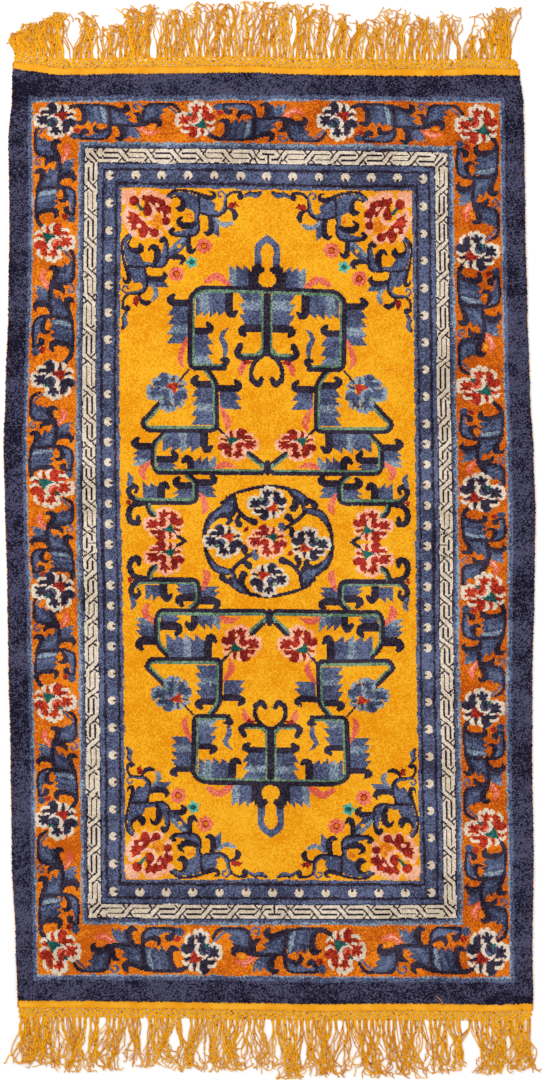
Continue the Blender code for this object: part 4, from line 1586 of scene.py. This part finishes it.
golden_yarn = yarn_gold()
fringes = []
for name, end, table, more, gaps, style, net_width, seed in [
    ("upper", 1, UPPER_YARNS, UPPER_MORE, UPPER_GAPS, UPPER_STYLE, 5.3 * MM, 3),
    ("lower", -1, LOWER_YARNS, LOWER_MORE, LOWER_GAPS, LOWER_STYLE, 5.8 * MM, 8),
]:
    rng = np.random.default_rng(seed)
    paths = net_yarns(end, net_width, rng)
    stitches = stitch_yarn(end, paths.shape[1])
    dye = np.append(rng.uniform(0.6, 1.0, len(paths)), np.full(len(stitches), STITCH_DYE))
    paths = np.concatenate([paths, stitches])
    net = dyed_tubes(f"fringe_{name}_net", paths, NET_RADIUS, dye, rng)
    roots = (np.arange(LOOSE_YARNS) + rng.uniform(0.0, 1.0, LOOSE_YARNS)) / LOOSE_YARNS
    for first, last, count in more:
        roots = np.append(roots, rng.uniform(first, last, count))
    bunch = np.floor(roots * BUNCHES)
    knot = (bunch + rng.uniform(0.3, 0.7, BUNCHES + 1)[bunch.astype(int)]) / BUNCHES
    roots = knot + (roots - knot) * KNOT_PULL
    for gap_start, gap_end in gaps:
        roots = roots[(roots < gap_start) | (roots > gap_end)]
    paths = loose_yarns(end, table, roots, rng, **style)
    dye = rng.uniform(0.35, 1.0, len(paths))
    yarns = dyed_tubes(f"fringe_{name}_yarns", paths, YARN_RADIUS, dye, rng)
    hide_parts("fringe_" + name)
    fringes += [net, yarns]

# One end of yarn that came loose and lies over the lower edge of the pile: where it
# starts from the rug's middle, how far it runs and how far it bows, in millimetres
THREAD_RADIUS = 0.6 * MM
THREAD_START = (290.0, -791.5, 8.0)
THREAD_RUN = (13.5, -16.0, -2.0)
THREAD_BOW = 1.6
share = np.linspace(0.0, 1.0, YARN_POINTS)
x = THREAD_START[0] + THREAD_RUN[0] * share + THREAD_BOW * np.sin(4.0 * share)
y = THREAD_START[1] + THREAD_RUN[1] * share
z = THREAD_START[2] + THREAD_RUN[2] * share**4
path = np.stack([x, y, z], axis=1) * MM
fringes.append(dyed_tubes("loose_thread", path[None], THREAD_RADIUS, np.array([0.5]), rng))

# Floor
# A plain pale floor that the rug lies flat on.
FLOOR_SIZE = 6.0
mesh = bmesh.new()
bmesh.ops.create_grid(mesh, x_segments=1, y_segments=1, size=FLOOR_SIZE / 2.0)
data = bpy.data.meshes.new("floor")
mesh.to_mesh(data)
mesh.free()
floor = bpy.data.objects.new("floor", data)
bpy.context.scene.collection.objects.link(floor)
paint = bpy.data.materials.new("pale floor")
paint.use_nodes = True
surface = paint.node_tree.nodes["Principled BSDF"]
surface.inputs["Base Color"].default_value = (0.96, 0.96, 0.96, 1.0)
surface.inputs["Roughness"].default_value = 0.9
data.materials.append(paint)

# Camera and light
# Straight above the rug, as a rug is photographed flat, in soft light that comes
# a little more from beyond its upper end.

# Metres of floor that the picture's height takes in, lens and film in millimetres,
# and the middle of the picture on the floor
VIEW_HEIGHT = 1.879
LENS = 85.0
FILM = 36.0
PHOTO_MIDDLE = (2.6 * MM, 1.7 * MM)
SKY_STRENGTH = 0.665
camera_data = bpy.data.cameras.new("camera")
camera_data.lens = LENS
camera_data.sensor_width = FILM
camera_data.sensor_fit = "AUTO"
camera = bpy.data.objects.new("camera", camera_data)
camera.location = (*PHOTO_MIDDLE, VIEW_HEIGHT * LENS / FILM + PILE_TOP)
bpy.context.scene.collection.objects.link(camera)
bpy.context.scene.camera = camera

# Soft boxes: x, y, z, size, power
for x, y, z, size, power in [
    (-1.6, 1.8, 2.6, 1.8, 57.0),
    (1.4, -1.2, 2.8, 2.2, 28.0),
]:
    light_data = bpy.data.lights.new("soft box", "AREA")
    light_data.shape = "SQUARE"
    light_data.size = size
    light_data.energy = power
    light = bpy.data.objects.new("soft box", light_data)
    light.location = (x, y, z)
    aim = -light.location.normalized()
    light.rotation_euler = aim.to_track_quat("-Z", "Y").to_euler()
    bpy.context.scene.collection.objects.link(light)

world = bpy.data.worlds.new("studio")
world.use_nodes = True
world.node_tree.nodes["Background"].inputs["Color"].default_value = (1.0, 1.0, 1.0, 1.0)
world.node_tree.nodes["Background"].inputs["Strength"].default_value = SKY_STRENGTH
bpy.context.scene.world = world
bpy.context.scene.view_settings.view_transform = "Standard"
